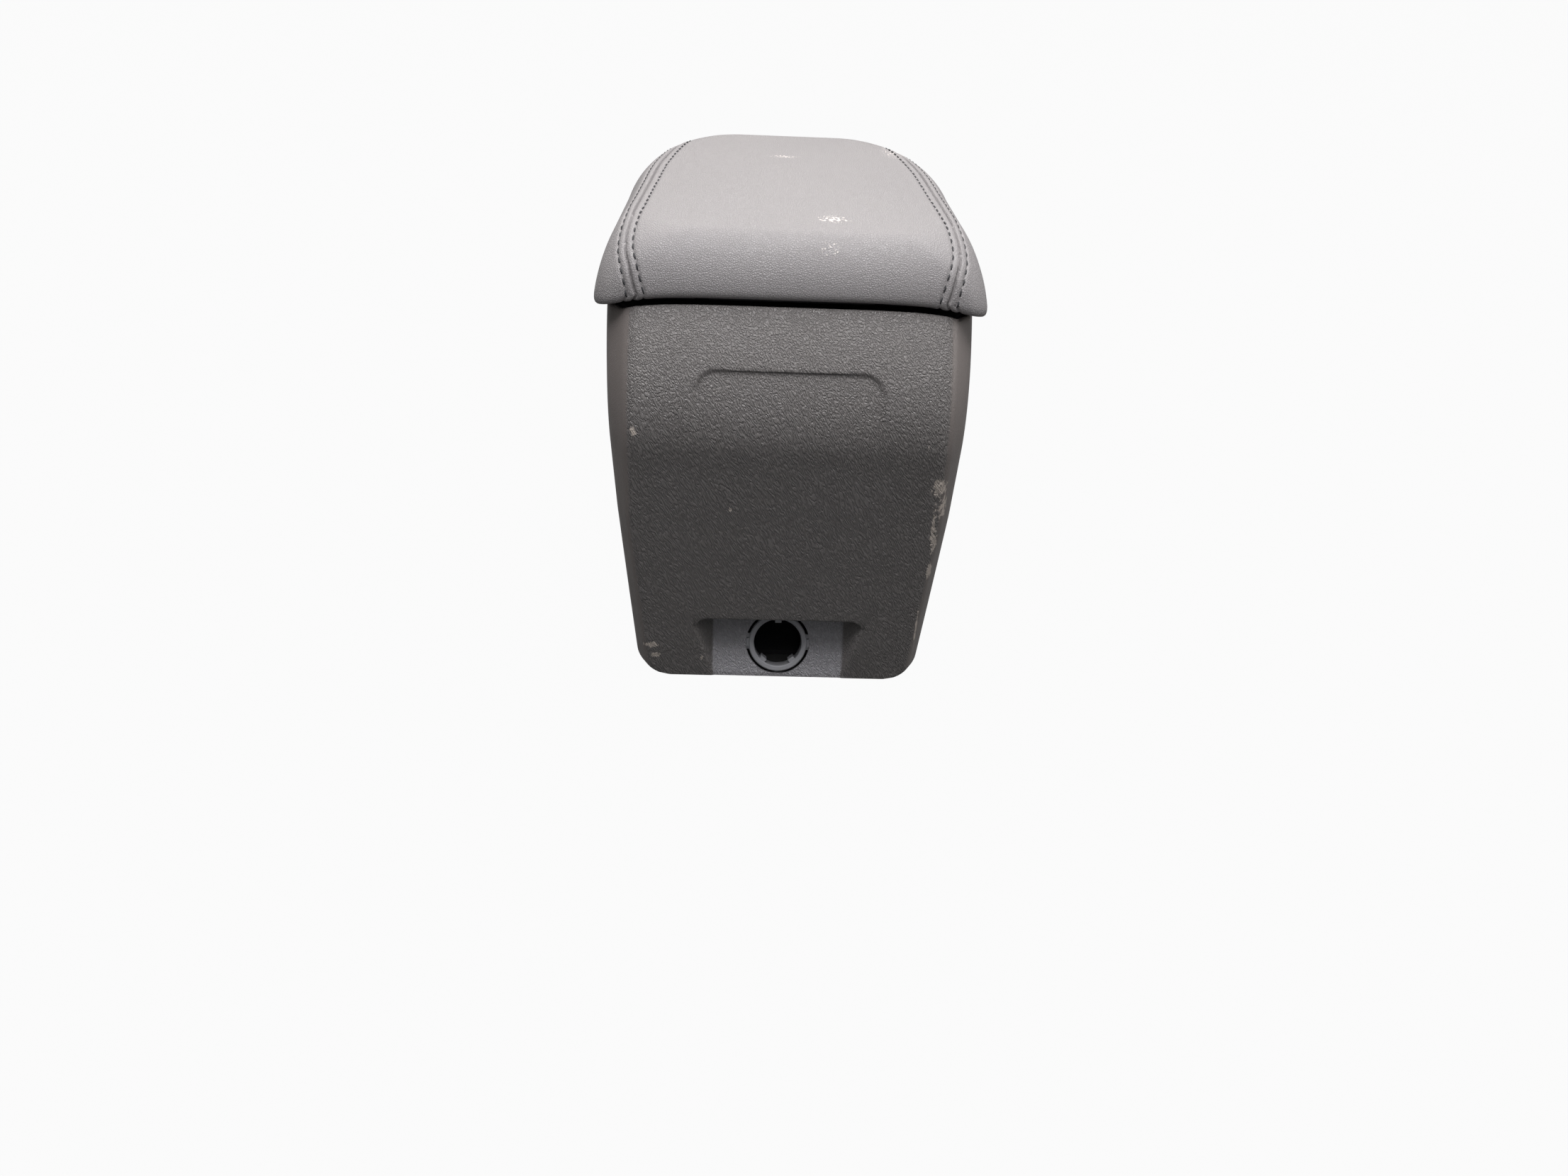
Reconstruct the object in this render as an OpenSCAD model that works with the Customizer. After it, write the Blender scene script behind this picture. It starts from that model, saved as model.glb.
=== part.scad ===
// Car centre armrest: a tapered console cover with a socket niche in its rear face,
// a storage bin inside it, and a padded lid that is hinged at the rear.
// Millimetres, +Z up. The rear of the car is towards -Y, and the origin is at the
// centre of the footprint, on the floor.

/* [Console cover] */
// Depth of the whole armrest, from the rear face's belly to the lid's front lip
total_d = 268; // [264:1:274]
// Height of the cover's top edge at its middle
cover_h = 210.5; // [206:0.5:214]
// Width of the cover at the foot
foot_w = 158.5; // [155:0.5:162]
// How far the lid's rear rim stands out over each side of the cover
side_overhang = 4.1; // [3.6:0.1:5]
// How much the sides bulge at mid-height beyond a straight slope
side_bulge = 0.5; // [0:0.25:2]
// How far the cover's foot stands back from the lid's front lip
foot_front_set = 42; // [40:1:46]
// How far the cover's top edge stands back from the lid's front lip
top_front_set = 28; // [26:1:32]
// How much narrower each side is at the front than at the rear
side_taper = 22; // [20:0.5:24]
// Wall thickness of the cover
cover_wall = 2.8; // [2.4:0.1:3.2]
// How far the rear face leans forward at its top edge
lean = 30.6; // [29:0.2:32]
// Height at which the leaning rear face turns upright
belly_z = 145.7; // [140:0.5:150]
// How sharply the rear face bends over; 1 is a straight slope
lean_power = 1.9; // [1.7:0.1:2.2]
// How far the foot of the rear face stands in from the belly
undercut = 4.9; // [3:0.1:6]
// Width of the slanted face at each rear corner, at the top edge
corner_in = 15.6; // [14:0.2:16]
// Depth of the slanted face at each rear corner, at the top edge
corner_back = 22.3; // [20:0.1:23]
// Width of the slanted face low down
corner_low_in = 6.4; // [5.6:0.2:7]
// Depth of the slanted face low down
corner_low_back = 10.6; // [9:0.2:12]
// Height below which the slanted face stays narrow
corner_z = 105; // [90:1:115]
// Corner radius at the front of the cover
front_r = 38; // [30:1:40]
// Radius of the rounded lower corners, seen from the rear
foot_r = 10; // [8:0.5:12]
// How much lower the cover's top edge and the lid's rim are at the sides
arch = 7; // [5:0.25:7.5]
// How late that drop sets in towards the sides; 2 is an even bow
arch_power = 5.3; // [4:0.1:6]

/* [Recess in the rear face] */
// Width of the shallow arched recess
recess_w = 95; // [88:1:104]
// Height of the recess's crisp upper edge
recess_top_z = 184; // [180:0.5:186]
// Height of the recess, from its upper edge to where it fades out
recess_h = 36; // [34:1:37]
// Depth of the recess below its upper edge
recess_d = 1.2; // [0.8:0.1:1.4]
// Corner radius of the recess
recess_r = 11; // [8:0.5:16]

/* [Socket niche] */
// Width of the niche's opening at its upper edge
niche_w = 94; // [90:1:98]
// Height of the niche's upper edge
niche_h = 39.5; // [37.5:0.5:41]
// Width of the niche's floor
niche_floor_w = 73; // [68:1:76]
// Tilt of the niche's floor from upright, in degrees
niche_tilt = 24; // [22:0.5:25]
// Corner radius at the top of the niche
niche_r = 8; // [5:0.5:10]
// Distance up the niche's floor to the centre of the socket
socket_up = 19.8; // [19.4:0.1:20.4]
// Diameter of the hole in the niche's floor
socket_hole_d = 36; // [35.2:0.2:36.6]
// Outer diameter of the sleeve's visible ring
ring_d = 33; // [32:0.2:33.6]
// Bore of the socket sleeve
sleeve_bore_d = 27; // [26.4:0.2:27.6]
// Outer diameter of the sleeve behind its ring
sleeve_d = 29.6; // [29:0.2:30.2]
// Length of the sleeve behind the niche's floor
sleeve_len = 9.6; // [8:0.2:9.8]
// How far the ring stands proud of the niche's floor
ring_proud = 0.6; // [0.3:0.1:1]
// Thickness of the ring
ring_t = 2.4; // [2:0.1:3]
// Width of each inward tab of the ring
tab_w = 3.6; // [3:0.2:4.4]
// Length of each inward tab of the ring
tab_len = 2; // [1.5:0.1:2.4]
// Gap between the sleeve's side lugs and the hole or the floor
lug_gap = 0.1; // [0.05:0.05:0.2]
// Width of each side lug that holds the sleeve behind the floor
lug_w = 9; // [7:0.5:11]
// How far each side lug reaches past the hole's edge
lug_reach = 3; // [2:0.5:4]
// Thickness of a side lug
lug_t = 2; // [1.5:0.1:2.4]

/* [Storage bin] */
// Gap between the bin's sides and the cover's wall, at the bin's underside
bin_gap = 1.5; // [1:0.1:3]
// Gap from the lid's rear lip to the bin's rear wall
bin_set = 50.5; // [49:0.5:54]
// Gap from the bin's front wall to the flange's front edge
bin_front_set = 14.2; // [13.4:0.2:18]
// Wall thickness of the bin
bin_wall = 2.4; // [2:0.1:3]
// Height of the bin's underside
bin_z = 60; // [56:1:80]
// Thickness of the bin's floor
bin_floor = 2.6; // [2:0.1:3.2]
// Corner radius at the bin's rear
bin_r = 14; // [10:1:18]
// Corner radius at the bin's front
bin_front_r = 30; // [29:0.5:34]
// Thickness of the bin's flange
flange_t = 2.2; // [2:0.1:2.6]
// How far the flange's upper face lies below the cover's top edge
flange_drop = 6.5; // [6.3:0.1:7]
// Gap between the flange and the cover's top opening
flange_gap = 1.2; // [1:0.1:1.6]
// Thickness of the mat in the bin
mat_t = 2; // [1.5:0.1:3]
// Gap between the mat's edge and the bin's walls
mat_gap = 1; // [0.5:0.1:2]

/* [Lid] */
// Width of the lid at its rear rim
lid_rear_w = 200.8; // [198:0.2:203]
// Width of the lid towards its front, before the corners turn
lid_front_w = 172; // [170:1:176]
// How far the lid's rear lip stands forward of the cover's belly
lid_set = 29.5; // [29:0.5:30]
// Gap between the cover's top edge and the closed lid's rim
lid_gap = 3.1; // [2.8:0.1:3.6]
// Height from the rim to the crest at the rear
lid_h = 29.9; // [29:0.1:32]
// How much higher the crest is at the front than at the rear
lid_rise = 1; // [0:0.25:4]
// Crown of the lid's top above its crest line
lid_crown = 4; // [3:0.5:6]
// How far the crest line stands in from the sides
side_in = 18; // [17:0.5:22]
// How far the crest line stands in from the rear
rear_in = 28.3; // [27:0.1:29.5]
// How far the crest line stands in from the front
front_in = 50.6; // [44:0.2:54]
// How full the lid's rolled edge is; 1 is a quarter of an ellipse, less is flatter
roll_power = 0.8; // [0.75:0.05:1]
// Corner radius of the rim at the rear
lid_rear_r = 13; // [12.5:0.5:16]
// Radius across the front corners of the rim
lid_front_rx = 80.8; // [70:0.2:84]
// Radius along the front corners of the rim
lid_front_ry = 130; // [110:1:135]
// Corner radius of the crest line at the rear
crest_rear_r = 38.5; // [30:0.5:42]
// Radius across the front corners of the crest line
crest_front_rx = 42; // [36:1:50]
// Radius along the front corners of the crest line
crest_front_ry = 97; // [80:1:100]
// Thickness of the leather
skin_t = 1.4; // [1.2:0.1:1.6]
// Width of the leather that is turned in under the rim
turn_in = 6; // [5:0.5:6.5]
// Thickness of the foam at the sides
foam_side = 1.2; // [1:0.1:1.4]
// Thickness of the foam at the top
foam_top = 8; // [7:0.25:8.5]
// Thickness of the carrier's shell
carrier_t = 2.2; // [2:0.1:2.4]
// Gap between one layer of the lid and the next
layer_gap = 0.15; // [0.1:0.01:0.2]
// Thickness of the carrier's ribs
rib_t = 2; // [1.6:0.1:2.4]
// Distance from each side of the lid to the seam, at the rear rim
seam_rim_in = 23.9; // [22:0.1:26]
// Distance from each side of the lid to the seam where it runs furthest out, at the rear crest
seam_crest_in = 17.2; // [16.4:0.2:20]
// Distance from the rear lip to that widest place
seam_turn = 20; // [16:1:24]
// Distance from each side of the lid that the seam's long stretch is drawn out to
seam_bow_in = 21.4; // [19:0.2:24]
// Distance from each side of the lid's front end to the seam, at the front rim
seam_front_in = 40; // [34:1:46]
// Width of the groove along each seam
seam_gap = 0.8; // [0.4:0.1:1.2]
// Thickness of the lid's inner lining
liner_t = 2.4; // [2:0.1:2.6]
// How far the lining's underside lies below the lid's rim
liner_drop = 2.3; // [2:0.1:2.6]
// How far the lining's screws stand in from the lid's rim
liner_screw_in = 32; // [30:0.5:34]
// Gap between the lining's edge and the turned-in leather
liner_gap = 0.6; // [0.4:0.1:1]
// How much rounder the lining's rear corners are than the rim's
liner_round = 7; // [6:0.5:9]
// Height of the raised lip around the lining
liner_lip = 3; // [2:0.5:4]

/* [Hinge] */
// Distance from the lid's rear lip to the hinge axis
hinge_in = 11.5; // [11.2:0.1:12]
// Height of the hinge axis above the lid's rim
hinge_up = 5.5; // [5.3:0.1:5.8]
// Diameter of the hinge pin
pin_d = 3.6; // [3.2:0.1:4]
// Radial clearance around the hinge pin
pin_gap = 0.05; // [0.02:0.01:0.08]
// Radius of the eyes around the pin
eye_r = 3.4; // [3.2:0.1:3.5]
// Distance from the middle to each hinge arm
arm_x = 45; // [40:1:48]
// Thickness of each hinge arm
arm_t = 3; // [2.5:0.1:3.2]
// Height of a hinge arm's upper stretch
arm_h = 5.6; // [5:0.2:6]
// How far a hinge arm reaches forward of the axis
arm_reach = 27; // [25:0.5:28]
// Width of a hinge arm's upright stretch
arm_foot = 10; // [8:0.5:11]
// Thickness of the hinge base and of the lid's hinge leaf
plate_t = 2; // [1.6:0.1:2.2]
// Depth of the hinge base plate
base_plate_d = 22; // [18:0.5:23]
// Thickness of each ear of the hinge leaf
ear_t = 2.5; // [2:0.1:2.8]
// Thickness of the washer between an arm and an ear
washer_t = 0.6; // [0.5:0.05:0.7]
// Play on each side of a washer
washer_play = 0.05; // [0.03:0.01:0.08]
// Height of the hinge leaf's underside above the axis
leaf_up = 5; // [4.8:0.1:5.2]
// Distance from the axis to the hinge leaf's rear edge
leaf_set = 5; // [4.5:0.1:5.5]
// Distance between the leaf's screws
leaf_screw_dx = 24; // [20:1:28]
// Depth of the hinge leaf
leaf_d = 30; // [26:1:31]
// Height of a head on the hinge pin
pin_head_t = 1.5; // [1:0.1:1.8]
// Diameter of the heads on the hinge pin
pin_head_d = 6; // [5.4:0.1:6.4]
// Gap that the cover keeps from the lid's swinging rear lip
sweep_gap = 0.3; // [0.2:0.05:0.6]

/* [Base and fasteners] */
// Gap between the steel base plate and the cover's wall
base_gap = 1; // [0.6:0.1:1.6]
// Thickness of the steel base plate
base_t = 3; // [2.5:0.1:3.5]
// Diameter of the four holes that bolt the base down
bolt_hole_d = 8.5; // [6.6:0.1:9]
// Sideways distance between those holes
bolt_dx = 76; // [70:1:80]
// Fore and aft distance between those holes
bolt_dy = 120; // [112:1:124]
// Width of the cable opening in the base plate
cable_w = 44; // [36:1:48]
// Depth of the cable opening in the base plate
cable_d = 30; // [24:1:36]
// Height of the two pressed ribs on the base plate
press_h = 4; // [3:0.5:5]
// Width of each pressed rib
press_w = 8; // [6:0.5:9]
// Diameter of the cover's moulded bosses
boss_d = 9; // [8:0.5:10]
// Height of the bosses at the cover's foot
foot_boss_h = 24; // [20:1:30]
// Distance from the rear face's belly to the rear bosses at the foot
foot_boss_rear = 62; // [58:1:66]
// Distance from the lid's front lip to the front bosses at the foot
foot_boss_front = 90; // [84:1:96]
// Distance from the lid's rear lip to the rear posts under the bin's flange
post_rear = 74; // [70:1:78]
// Distance from the lid's front lip to the front posts under the bin's flange
post_front = 84; // [80:1:88]
// Height of the posts that carry the bin's flange
post_h = 34; // [28:1:40]
// Diameter of the pilot holes for screws
pilot_d = 3; // [2.6:0.1:3.2]
// Diameter of the screws' shanks
screw_d = 2.9; // [2.4:0.1:3]
// Diameter of the screws' heads
screw_head_d = 6.6; // [6:0.1:7]
// Height of the screws' heads
screw_head_h = 1.8; // [1.5:0.1:2]
// Length of the screws below the head
screw_len = 9; // [8:0.5:10]
// Diameter of the rubber bumpers
bumper_d = 9; // [8:0.5:10]
// Distance from the rear posts to the rear bumpers
bumper_set = 18; // [14:1:24]
// Gap between a bumper and the closed lid
bumper_gap = 0.1; // [0.05:0.01:0.2]

/* [Hidden] */
$fn = 48;

// Places that follow from the sizes above
back_y = -total_d / 2;
lid_front = total_d / 2;
lid_rear = back_y + lid_set;
lid_len = lid_front - lid_rear;
rim_z = cover_h + lid_gap;
liner_z = rim_z - liner_drop;
flange_z = cover_h - flange_drop;
axis_y = lid_rear + hinge_in;
axis_z = rim_z + hinge_up;
leaf_z = axis_z + leaf_up;
leaf_rear = axis_y + leaf_set;
top_w = lid_rear_w - 2 * side_overhang;
foot_front = lid_front - foot_front_set;
top_front = lid_front - top_front_set;
top_d = top_front - back_y;
// Share of a wall by which the slanted face's width shrinks on the inside of that wall
slant_loss = 0.44;
// Shares of the slanted face's length over which it blends into the rear face and the side
edge_blend = 0.25;
side_blend = 0.4;
foam_ts = skin_t + layer_gap;
carrier_ts = foam_ts + foam_side + layer_gap;
carrier_tt = foam_ts + foam_top + layer_gap;
inner_ts = carrier_ts + carrier_t;
inner_tt = carrier_tt + carrier_t;
over = 1;
arc_steps = 5;
corner_steps = 8;
front_steps = 10;
// Shares of a rear edge at which it gets a point: closer together where the edge drops faster
edge_shares = [0, 0.5, 0.7, 0.82, 0.92];

// Interpolation, a quadratic curve, and a list mirrored into a closed loop
function mix(a, b, t) = a + (b - a) * t;
function part_of(t) = min(1, max(0, t));
function curve(p, q, r, n) =
    [for (i = [0:n]) let (t = i / n) mix(mix(p, q, t), mix(q, r, t), t)];
function loop(half) =
    concat(half, [for (i = [len(half) - 2:-1:1]) [-half[i][0], half[i][1]]]);

// Half outline of a tapered plan with round rear corners and elliptical front corners
function plan_half(wr, wf, y0, y1, rr, rx, ry, n = corner_steps, m = front_steps) =
    let (
        side0 = mix(wr, wf, rr / (y1 - y0)),
        side1 = mix(wr, wf, (y1 - ry - y0) / (y1 - y0))
    )
    concat(
        [for (k = edge_shares) [k * (side0 - rr), y0]],
        [for (i = [0:n]) let (a = 90 * i / n) [side0 - rr + rr * sin(a), y0 + rr - rr * cos(a)]],
        [mix([side0, y0 + rr], [side1, y1 - ry], 1 / 2)],
        [for (i = [0:m]) let (a = 90 * i / m) [side1 - rx + rx * cos(a), y1 - ry + ry * sin(a)]],
        [[0, y1]]
    );

// Faces between rings of n points, listed from the bottom up and anticlockwise from above
function ring_faces(first, rings, n, inside) =
    [for (i = [0:rings - 2], j = [0:n - 1], k = [0, 1])
        let (
            a = first + i * n + j,
            b = first + i * n + (j + 1) % n,
            c = b + n,
            d = a + n
        )
        inside ? (k == 0 ? [a, b, c] : [a, c, d]) : (k == 0 ? [a, d, c] : [a, c, b])];
// Faces that join ring p to ring q of the same edge, seen from the side where p is outermost
function edge_faces(p, q, n, up) =
    [for (j = [0:n - 1], k = [0, 1])
        let (a = p + j, b = p + (j + 1) % n, c = q + (j + 1) % n, d = q + j)
        up ? (k == 0 ? [a, d, c] : [a, c, b]) : (k == 0 ? [a, b, c] : [a, c, d])];
function join_rings(rings) = [for (r = rings) each r];
// Middle of a ring, and the faces that close the ring to that point
function ring_middle(ring) = (ring[0] + ring[len(ring) / 2]) / 2;
function fan(first, tip, n, up) =
    [for (j = [0:n - 1])
        let (a = first + j, b = first + (j + 1) % n)
        up ? [a, tip, b] : [a, b, tip]];

// A wall between an outer and an inner stack of rings, open at the top and bottom
module tube_shell(outer, inner) {
    n = len(outer[0]);
    m = len(outer);
    polyhedron(
        points = concat(join_rings(outer), join_rings(inner)),
        faces = concat(
            ring_faces(0, m, n, false),
            ring_faces(m * n, m, n, true),
            edge_faces(0, m * n, n, false),
            edge_faces((m - 1) * n, (2 * m - 1) * n, n, true)
        ),
        convexity = 8
    );
}
// A wall between two stacks of rings that are both closed at the top
module dome_shell(outer, inner) {
    n = len(outer[0]);
    m = len(outer);
    k = len(inner);
    polyhedron(
        points = concat(
            join_rings(outer),
            join_rings(inner),
            [ring_middle(outer[m - 1]), ring_middle(inner[k - 1])]
        ),
        faces = concat(
            ring_faces(0, m, n, false),
            ring_faces(m * n, k, n, true),
            edge_faces(0, m * n, n, false),
            fan((m - 1) * n, (m + k) * n, n, true),
            fan((m + k - 1) * n, (m + k) * n + 1, n, false)
        ),
        convexity = 8
    );
}
// A solid inside one stack of rings
module dome_solid(rings) {
    n = len(rings[0]);
    m = len(rings);
    polyhedron(
        points = concat(join_rings(rings), [ring_middle(rings[0]), ring_middle(rings[m - 1])]),
        faces = concat(
            ring_faces(0, m, n, false),
            fan(0, m * n, n, false),
            fan((m - 1) * n, m * n + 1, n, true)
        ),
        convexity = 4
    );
}

// Console cover: half width, rear face and front face at a height
function foot_drop(z) = z >= foot_r ? 0 : foot_r - sqrt(foot_r * foot_r - (foot_r - z) * (foot_r - z));
function cover_half_w(z) = mix(foot_w, top_w, z / cover_h) / 2 - foot_drop(z)
    + 4 * side_bulge * (z / cover_h) * (1 - z / cover_h);
function rear_y(z) = back_y
    + lean * pow(part_of((z - belly_z) / (cover_h - belly_z)), lean_power)
    + undercut * part_of((belly_z - z) / belly_z);
function front_y(z) = mix(foot_front, top_front, z / cover_h);
function side_x(y, z) = cover_half_w(z)
    - side_taper * part_of((y - back_y - corner_back) / (top_d - corner_back));
function corner_t(z) = part_of((z - corner_z) / (cover_h - corner_z));
function arch_drop(x) = arch * pow(abs(x) / (top_w / 2), arch_power);
function cover_sag(x, z) = arch_drop(x) * pow(z / cover_h, 3);

// Half outline of the cover at a height, t inside its outer face
function cover_half(z, t) =
    let (
        y0 = rear_y(z) + t,
        y1 = front_y(z) - t,
        w = cover_half_w(z) - t,
        c_in = mix(corner_low_in, corner_in, corner_t(z)),
        c_back = mix(corner_low_back, corner_back, corner_t(z)),
        c_scale = 1 - slant_loss * t / c_in,
        c1 = [w - c_in * c_scale, y0],
        c2 = [w, y0 + c_back * c_scale],
        step = c2 - c1,
        side_len = side_blend * norm(step),
        r = front_r - t,
        w1 = side_x(y1 - r, z) - t
    )
    concat(
        [for (k = edge_shares) [k * (c1[0] - edge_blend * norm(step)), y0]],
        curve(c1 - [edge_blend * norm(step), 0], c1, c1 + edge_blend * step, arc_steps),
        curve(c2 - side_blend * step, c2, [side_x(c2[1] + side_len, z) - t, c2[1] + side_len], arc_steps),
        [for (i = [0:corner_steps]) let (a = 90 * i / corner_steps) [w1 - r + r * cos(a), y1 - r + r * sin(a)]],
        [[0, y1]]
    );
function cover_ring(z, t) = [for (p = loop(cover_half(z, t))) [p[0], p[1], z - cover_sag(p[0], z)]];
// Ring heights: close together where the foot rounds and where the rear face bends
cover_heights = concat(
    [0, foot_r * 0.12, foot_r * 0.4, foot_r],
    [for (i = [1:3]) mix(foot_r, belly_z, i / 3)],
    [for (i = [1:12]) mix(belly_z, cover_h, i / 12)]
);

// How far the recess's floor stands off the rear face at its lower end
recess_fade = 0.3;
// Cutter for the arched recess: its floor follows the rear face and fades out downwards
module recess_cutter() {
    low = recess_top_z - recess_h;
    rows = concat([low], [for (z = cover_heights) if (z > low && z < recess_top_z) z], [recess_top_z]);
    intersection() {
        rotate([90, 0, 90])
            linear_extrude(recess_w, center = true)
                polygon(concat(
                    [[back_y - 10, recess_top_z], [back_y - 10, low]],
                    [for (z = rows) [rear_y(z) + mix(-recess_fade, recess_d, (z - low) / recess_h), z]]
                ));
        translate([0, back_y + lean, 0])
            rotate([90, 0, 0])
                linear_extrude(lean + 20)
                    polygon(concat(
                        [for (i = [0:corner_steps])
                            let (a = 90 * i / corner_steps)
                            [recess_w / 2 - recess_r + recess_r * cos(a), recess_top_z - recess_r + recess_r * sin(a)]],
                        [for (i = [0:corner_steps])
                            let (a = 90 + 90 * i / corner_steps)
                            [-recess_w / 2 + recess_r + recess_r * cos(a), recess_top_z - recess_r + recess_r * sin(a)]],
                        [[-recess_w / 2, low - over], [recess_w / 2, low - over]]
                    ));
    }
}

// The niche's own frame: z runs up its floor, and -y stands off it towards the rear
niche_y = back_y + undercut;
niche_flare = (niche_w - niche_floor_w) / 2 / (niche_h * sin(niche_tilt));
module in_niche() {
    translate([0, niche_y, 0])
        rotate([-niche_tilt, 0, 0])
            children();
}
// Space of the niche, or with grow the block of wall around it
module niche_space(grow) {
    reach = 40;
    half = niche_floor_w / 2 + grow;
    intersection() {
        in_niche()
            translate([0, 0, -reach / 2])
                linear_extrude(2 * reach)
                    polygon([
                        [half - niche_flare * grow, grow],
                        [half + niche_flare * reach, -reach],
                        [-half - niche_flare * reach, -reach],
                        [-half + niche_flare * grow, grow]
                    ]);
        translate([0, niche_y + reach, 0])
            rotate([90, 0, 0])
                linear_extrude(2 * reach)
                    niche_outline(grow);
    }
}
module niche_outline(grow) {
    w = niche_w / 2 + grow;
    h = niche_h + grow;
    r = niche_r + grow;
    translate([-w + r, -2 * over])
        square([2 * (w - r), h + 2 * over]);
    translate([-w, -2 * over])
        square([2 * w, h - r + 2 * over]);
    for (s = [-1, 1])
        translate([s * (w - r), h - r])
            circle(r);
}

// Places of the posts that carry the bin's flange, and of the bosses at the foot
post_ys = [lid_rear + post_rear, lid_front - post_front];
foot_boss_ys = [back_y + foot_boss_rear, lid_front - foot_boss_front];
post_in = boss_d / 2 + 0.5;
function post_x(y) = side_x(y, flange_z) - cover_wall - post_in;
function foot_boss_x(y) = side_x(y, 0) - cover_wall - base_gap - boss_d / 2;
// A boss joined to the side wall by a web that follows the wall's slant
module side_post(y, x, z0, z1) {
    wall_mid = cover_wall / 2;
    low = max(z0, foot_r);
    translate([x, y, z0])
        cylinder(d = boss_d, h = z1 - z0);
    translate([0, y + rib_t / 2, 0])
        rotate([90, 0, 0])
            linear_extrude(rib_t)
                polygon([
                    [x, z0],
                    [x, z1],
                    [side_x(y, z1) - wall_mid, z1],
                    [side_x(y, low) - wall_mid, low],
                    [x + boss_d / 3, z0]
                ]);
}

// Trough in which the lid's rear lip swings down: its radius follows the lip's lower edge
function lip_back(x) =
    let (turn = max(0, abs(x) - (lid_rear_w / 2 - lid_rear_r)))
    lid_rear_r - sqrt(max(0, lid_rear_r * lid_rear_r - turn * turn));
function lip_reach(x) = norm([hinge_in - lip_back(x), hinge_up + arch_drop(x)]) + sweep_gap;
sweep_steps = 32;
module lip_sweep() {
    half = top_w / 2 + over;
    translate([0, axis_y, axis_z])
        rotate([0, 90, 0])
            rotate_extrude($fn = 96)
                polygon(concat(
                    [[0, half], [0, -half]],
                    [for (i = [0:sweep_steps]) let (x = mix(-half, half, i / sweep_steps)) [lip_reach(x), x]]
                ));
}

module console_cover() {
    top = flange_z - flange_t;
    color([0.27, 0.26, 0.25])
        difference() {
            union() {
                difference() {
                    tube_shell(
                        [for (z = cover_heights) cover_ring(z, 0)],
                        [for (z = cover_heights) cover_ring(z, cover_wall)]
                    );
                    recess_cutter();
                }
                intersection() {
                    niche_space(cover_wall);
                    translate([-foot_w, niche_y + over, 0])
                        cube([2 * foot_w, total_d, cover_h]);
                }
                for (s = [0, 1])
                    mirror([s, 0, 0]) {
                        for (y = post_ys)
                            side_post(y, post_x(y), top - post_h, top);
                        for (y = foot_boss_ys)
                            side_post(y, foot_boss_x(y), base_t, foot_boss_h);
                    }
            }
            niche_space(0);
            in_niche()
                translate([0, -over, socket_up])
                    rotate([-90, 0, 0])
                        cylinder(d = socket_hole_d, h = cover_wall + 3 * over);
            lip_sweep();
            for (s = [-1, 1]) {
                for (y = post_ys)
                    translate([s * post_x(y), y, top - screw_len - over])
                        cylinder(d = pilot_d, h = screw_len + 2 * over);
                for (y = foot_boss_ys)
                    translate([s * foot_boss_x(y), y, base_t - over])
                        cylinder(d = pilot_d, h = screw_len + 2 * over);
            }
        }
}

// One tab points up, the other two slant down
tab_angles = [90, -50, 230];
module socket_sleeve() {
    bore_r = sleeve_bore_d / 2;
    ring_r = ring_d / 2;
    lug_r = socket_hole_d / 2 + lug_reach;
    // The lugs grow out of the sleeve's wall, through a neck that clears the hole's edge
    lug_x = (bore_r + sleeve_d / 2) / 2;
    neck_r = sqrt(pow(socket_hole_d / 2 - lug_gap, 2) - pow(lug_w / 4, 2));
    color([0.45, 0.45, 0.46])
        in_niche()
            translate([0, 0, socket_up])
                rotate([-90, 0, 0])
                    union() {
                        rotate_extrude($fn = 96)
                            polygon([
                                [bore_r, -ring_proud + 0.5],
                                [bore_r + 0.5, -ring_proud],
                                [ring_r - 0.6, -ring_proud],
                                [ring_r, -ring_proud + 0.6],
                                [ring_r, ring_t - ring_proud],
                                [sleeve_d / 2, ring_t - ring_proud],
                                [sleeve_d / 2, sleeve_len],
                                [bore_r, sleeve_len]
                            ]);
                        for (a = tab_angles)
                            rotate([0, 0, -a])
                                translate([bore_r - tab_len, -tab_w / 2, 0])
                                    cube([tab_len + 0.6, tab_w, sleeve_len - 2]);
                        // Side lugs: through the hole's rim, then behind the floor
                        for (s = [0, 1])
                            mirror([s, 0, 0]) {
                                translate([lug_x, -lug_w / 4, 0])
                                    cube([neck_r - lug_x, lug_w / 2, cover_wall + lug_t]);
                                translate([lug_x, -lug_w / 2, cover_wall + lug_gap])
                                    cube([lug_r - lug_x, lug_w, lug_t - lug_gap]);
                            }
                    }
}

// Plan outlines of the bin, its flange and the mat
bin_y = lid_rear + bin_set;
flange_front = top_front - cover_wall - flange_gap;
bin_d = flange_front - bin_front_set - bin_y;
// The bin's sides clear the cover at the bin's underside, and the posts under its flange
function bin_half_w(y) = min(side_x(y, bin_z) - cover_wall, post_x(y) - boss_d / 2) - bin_gap;
module bin_plan(t) {
    r = bin_front_r - t;
    polygon(loop(plan_half(
        bin_half_w(bin_y) - t, bin_half_w(bin_y + bin_d) - t, bin_y + t, bin_y + bin_d - t,
        bin_r - t, r, r)));
}
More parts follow.
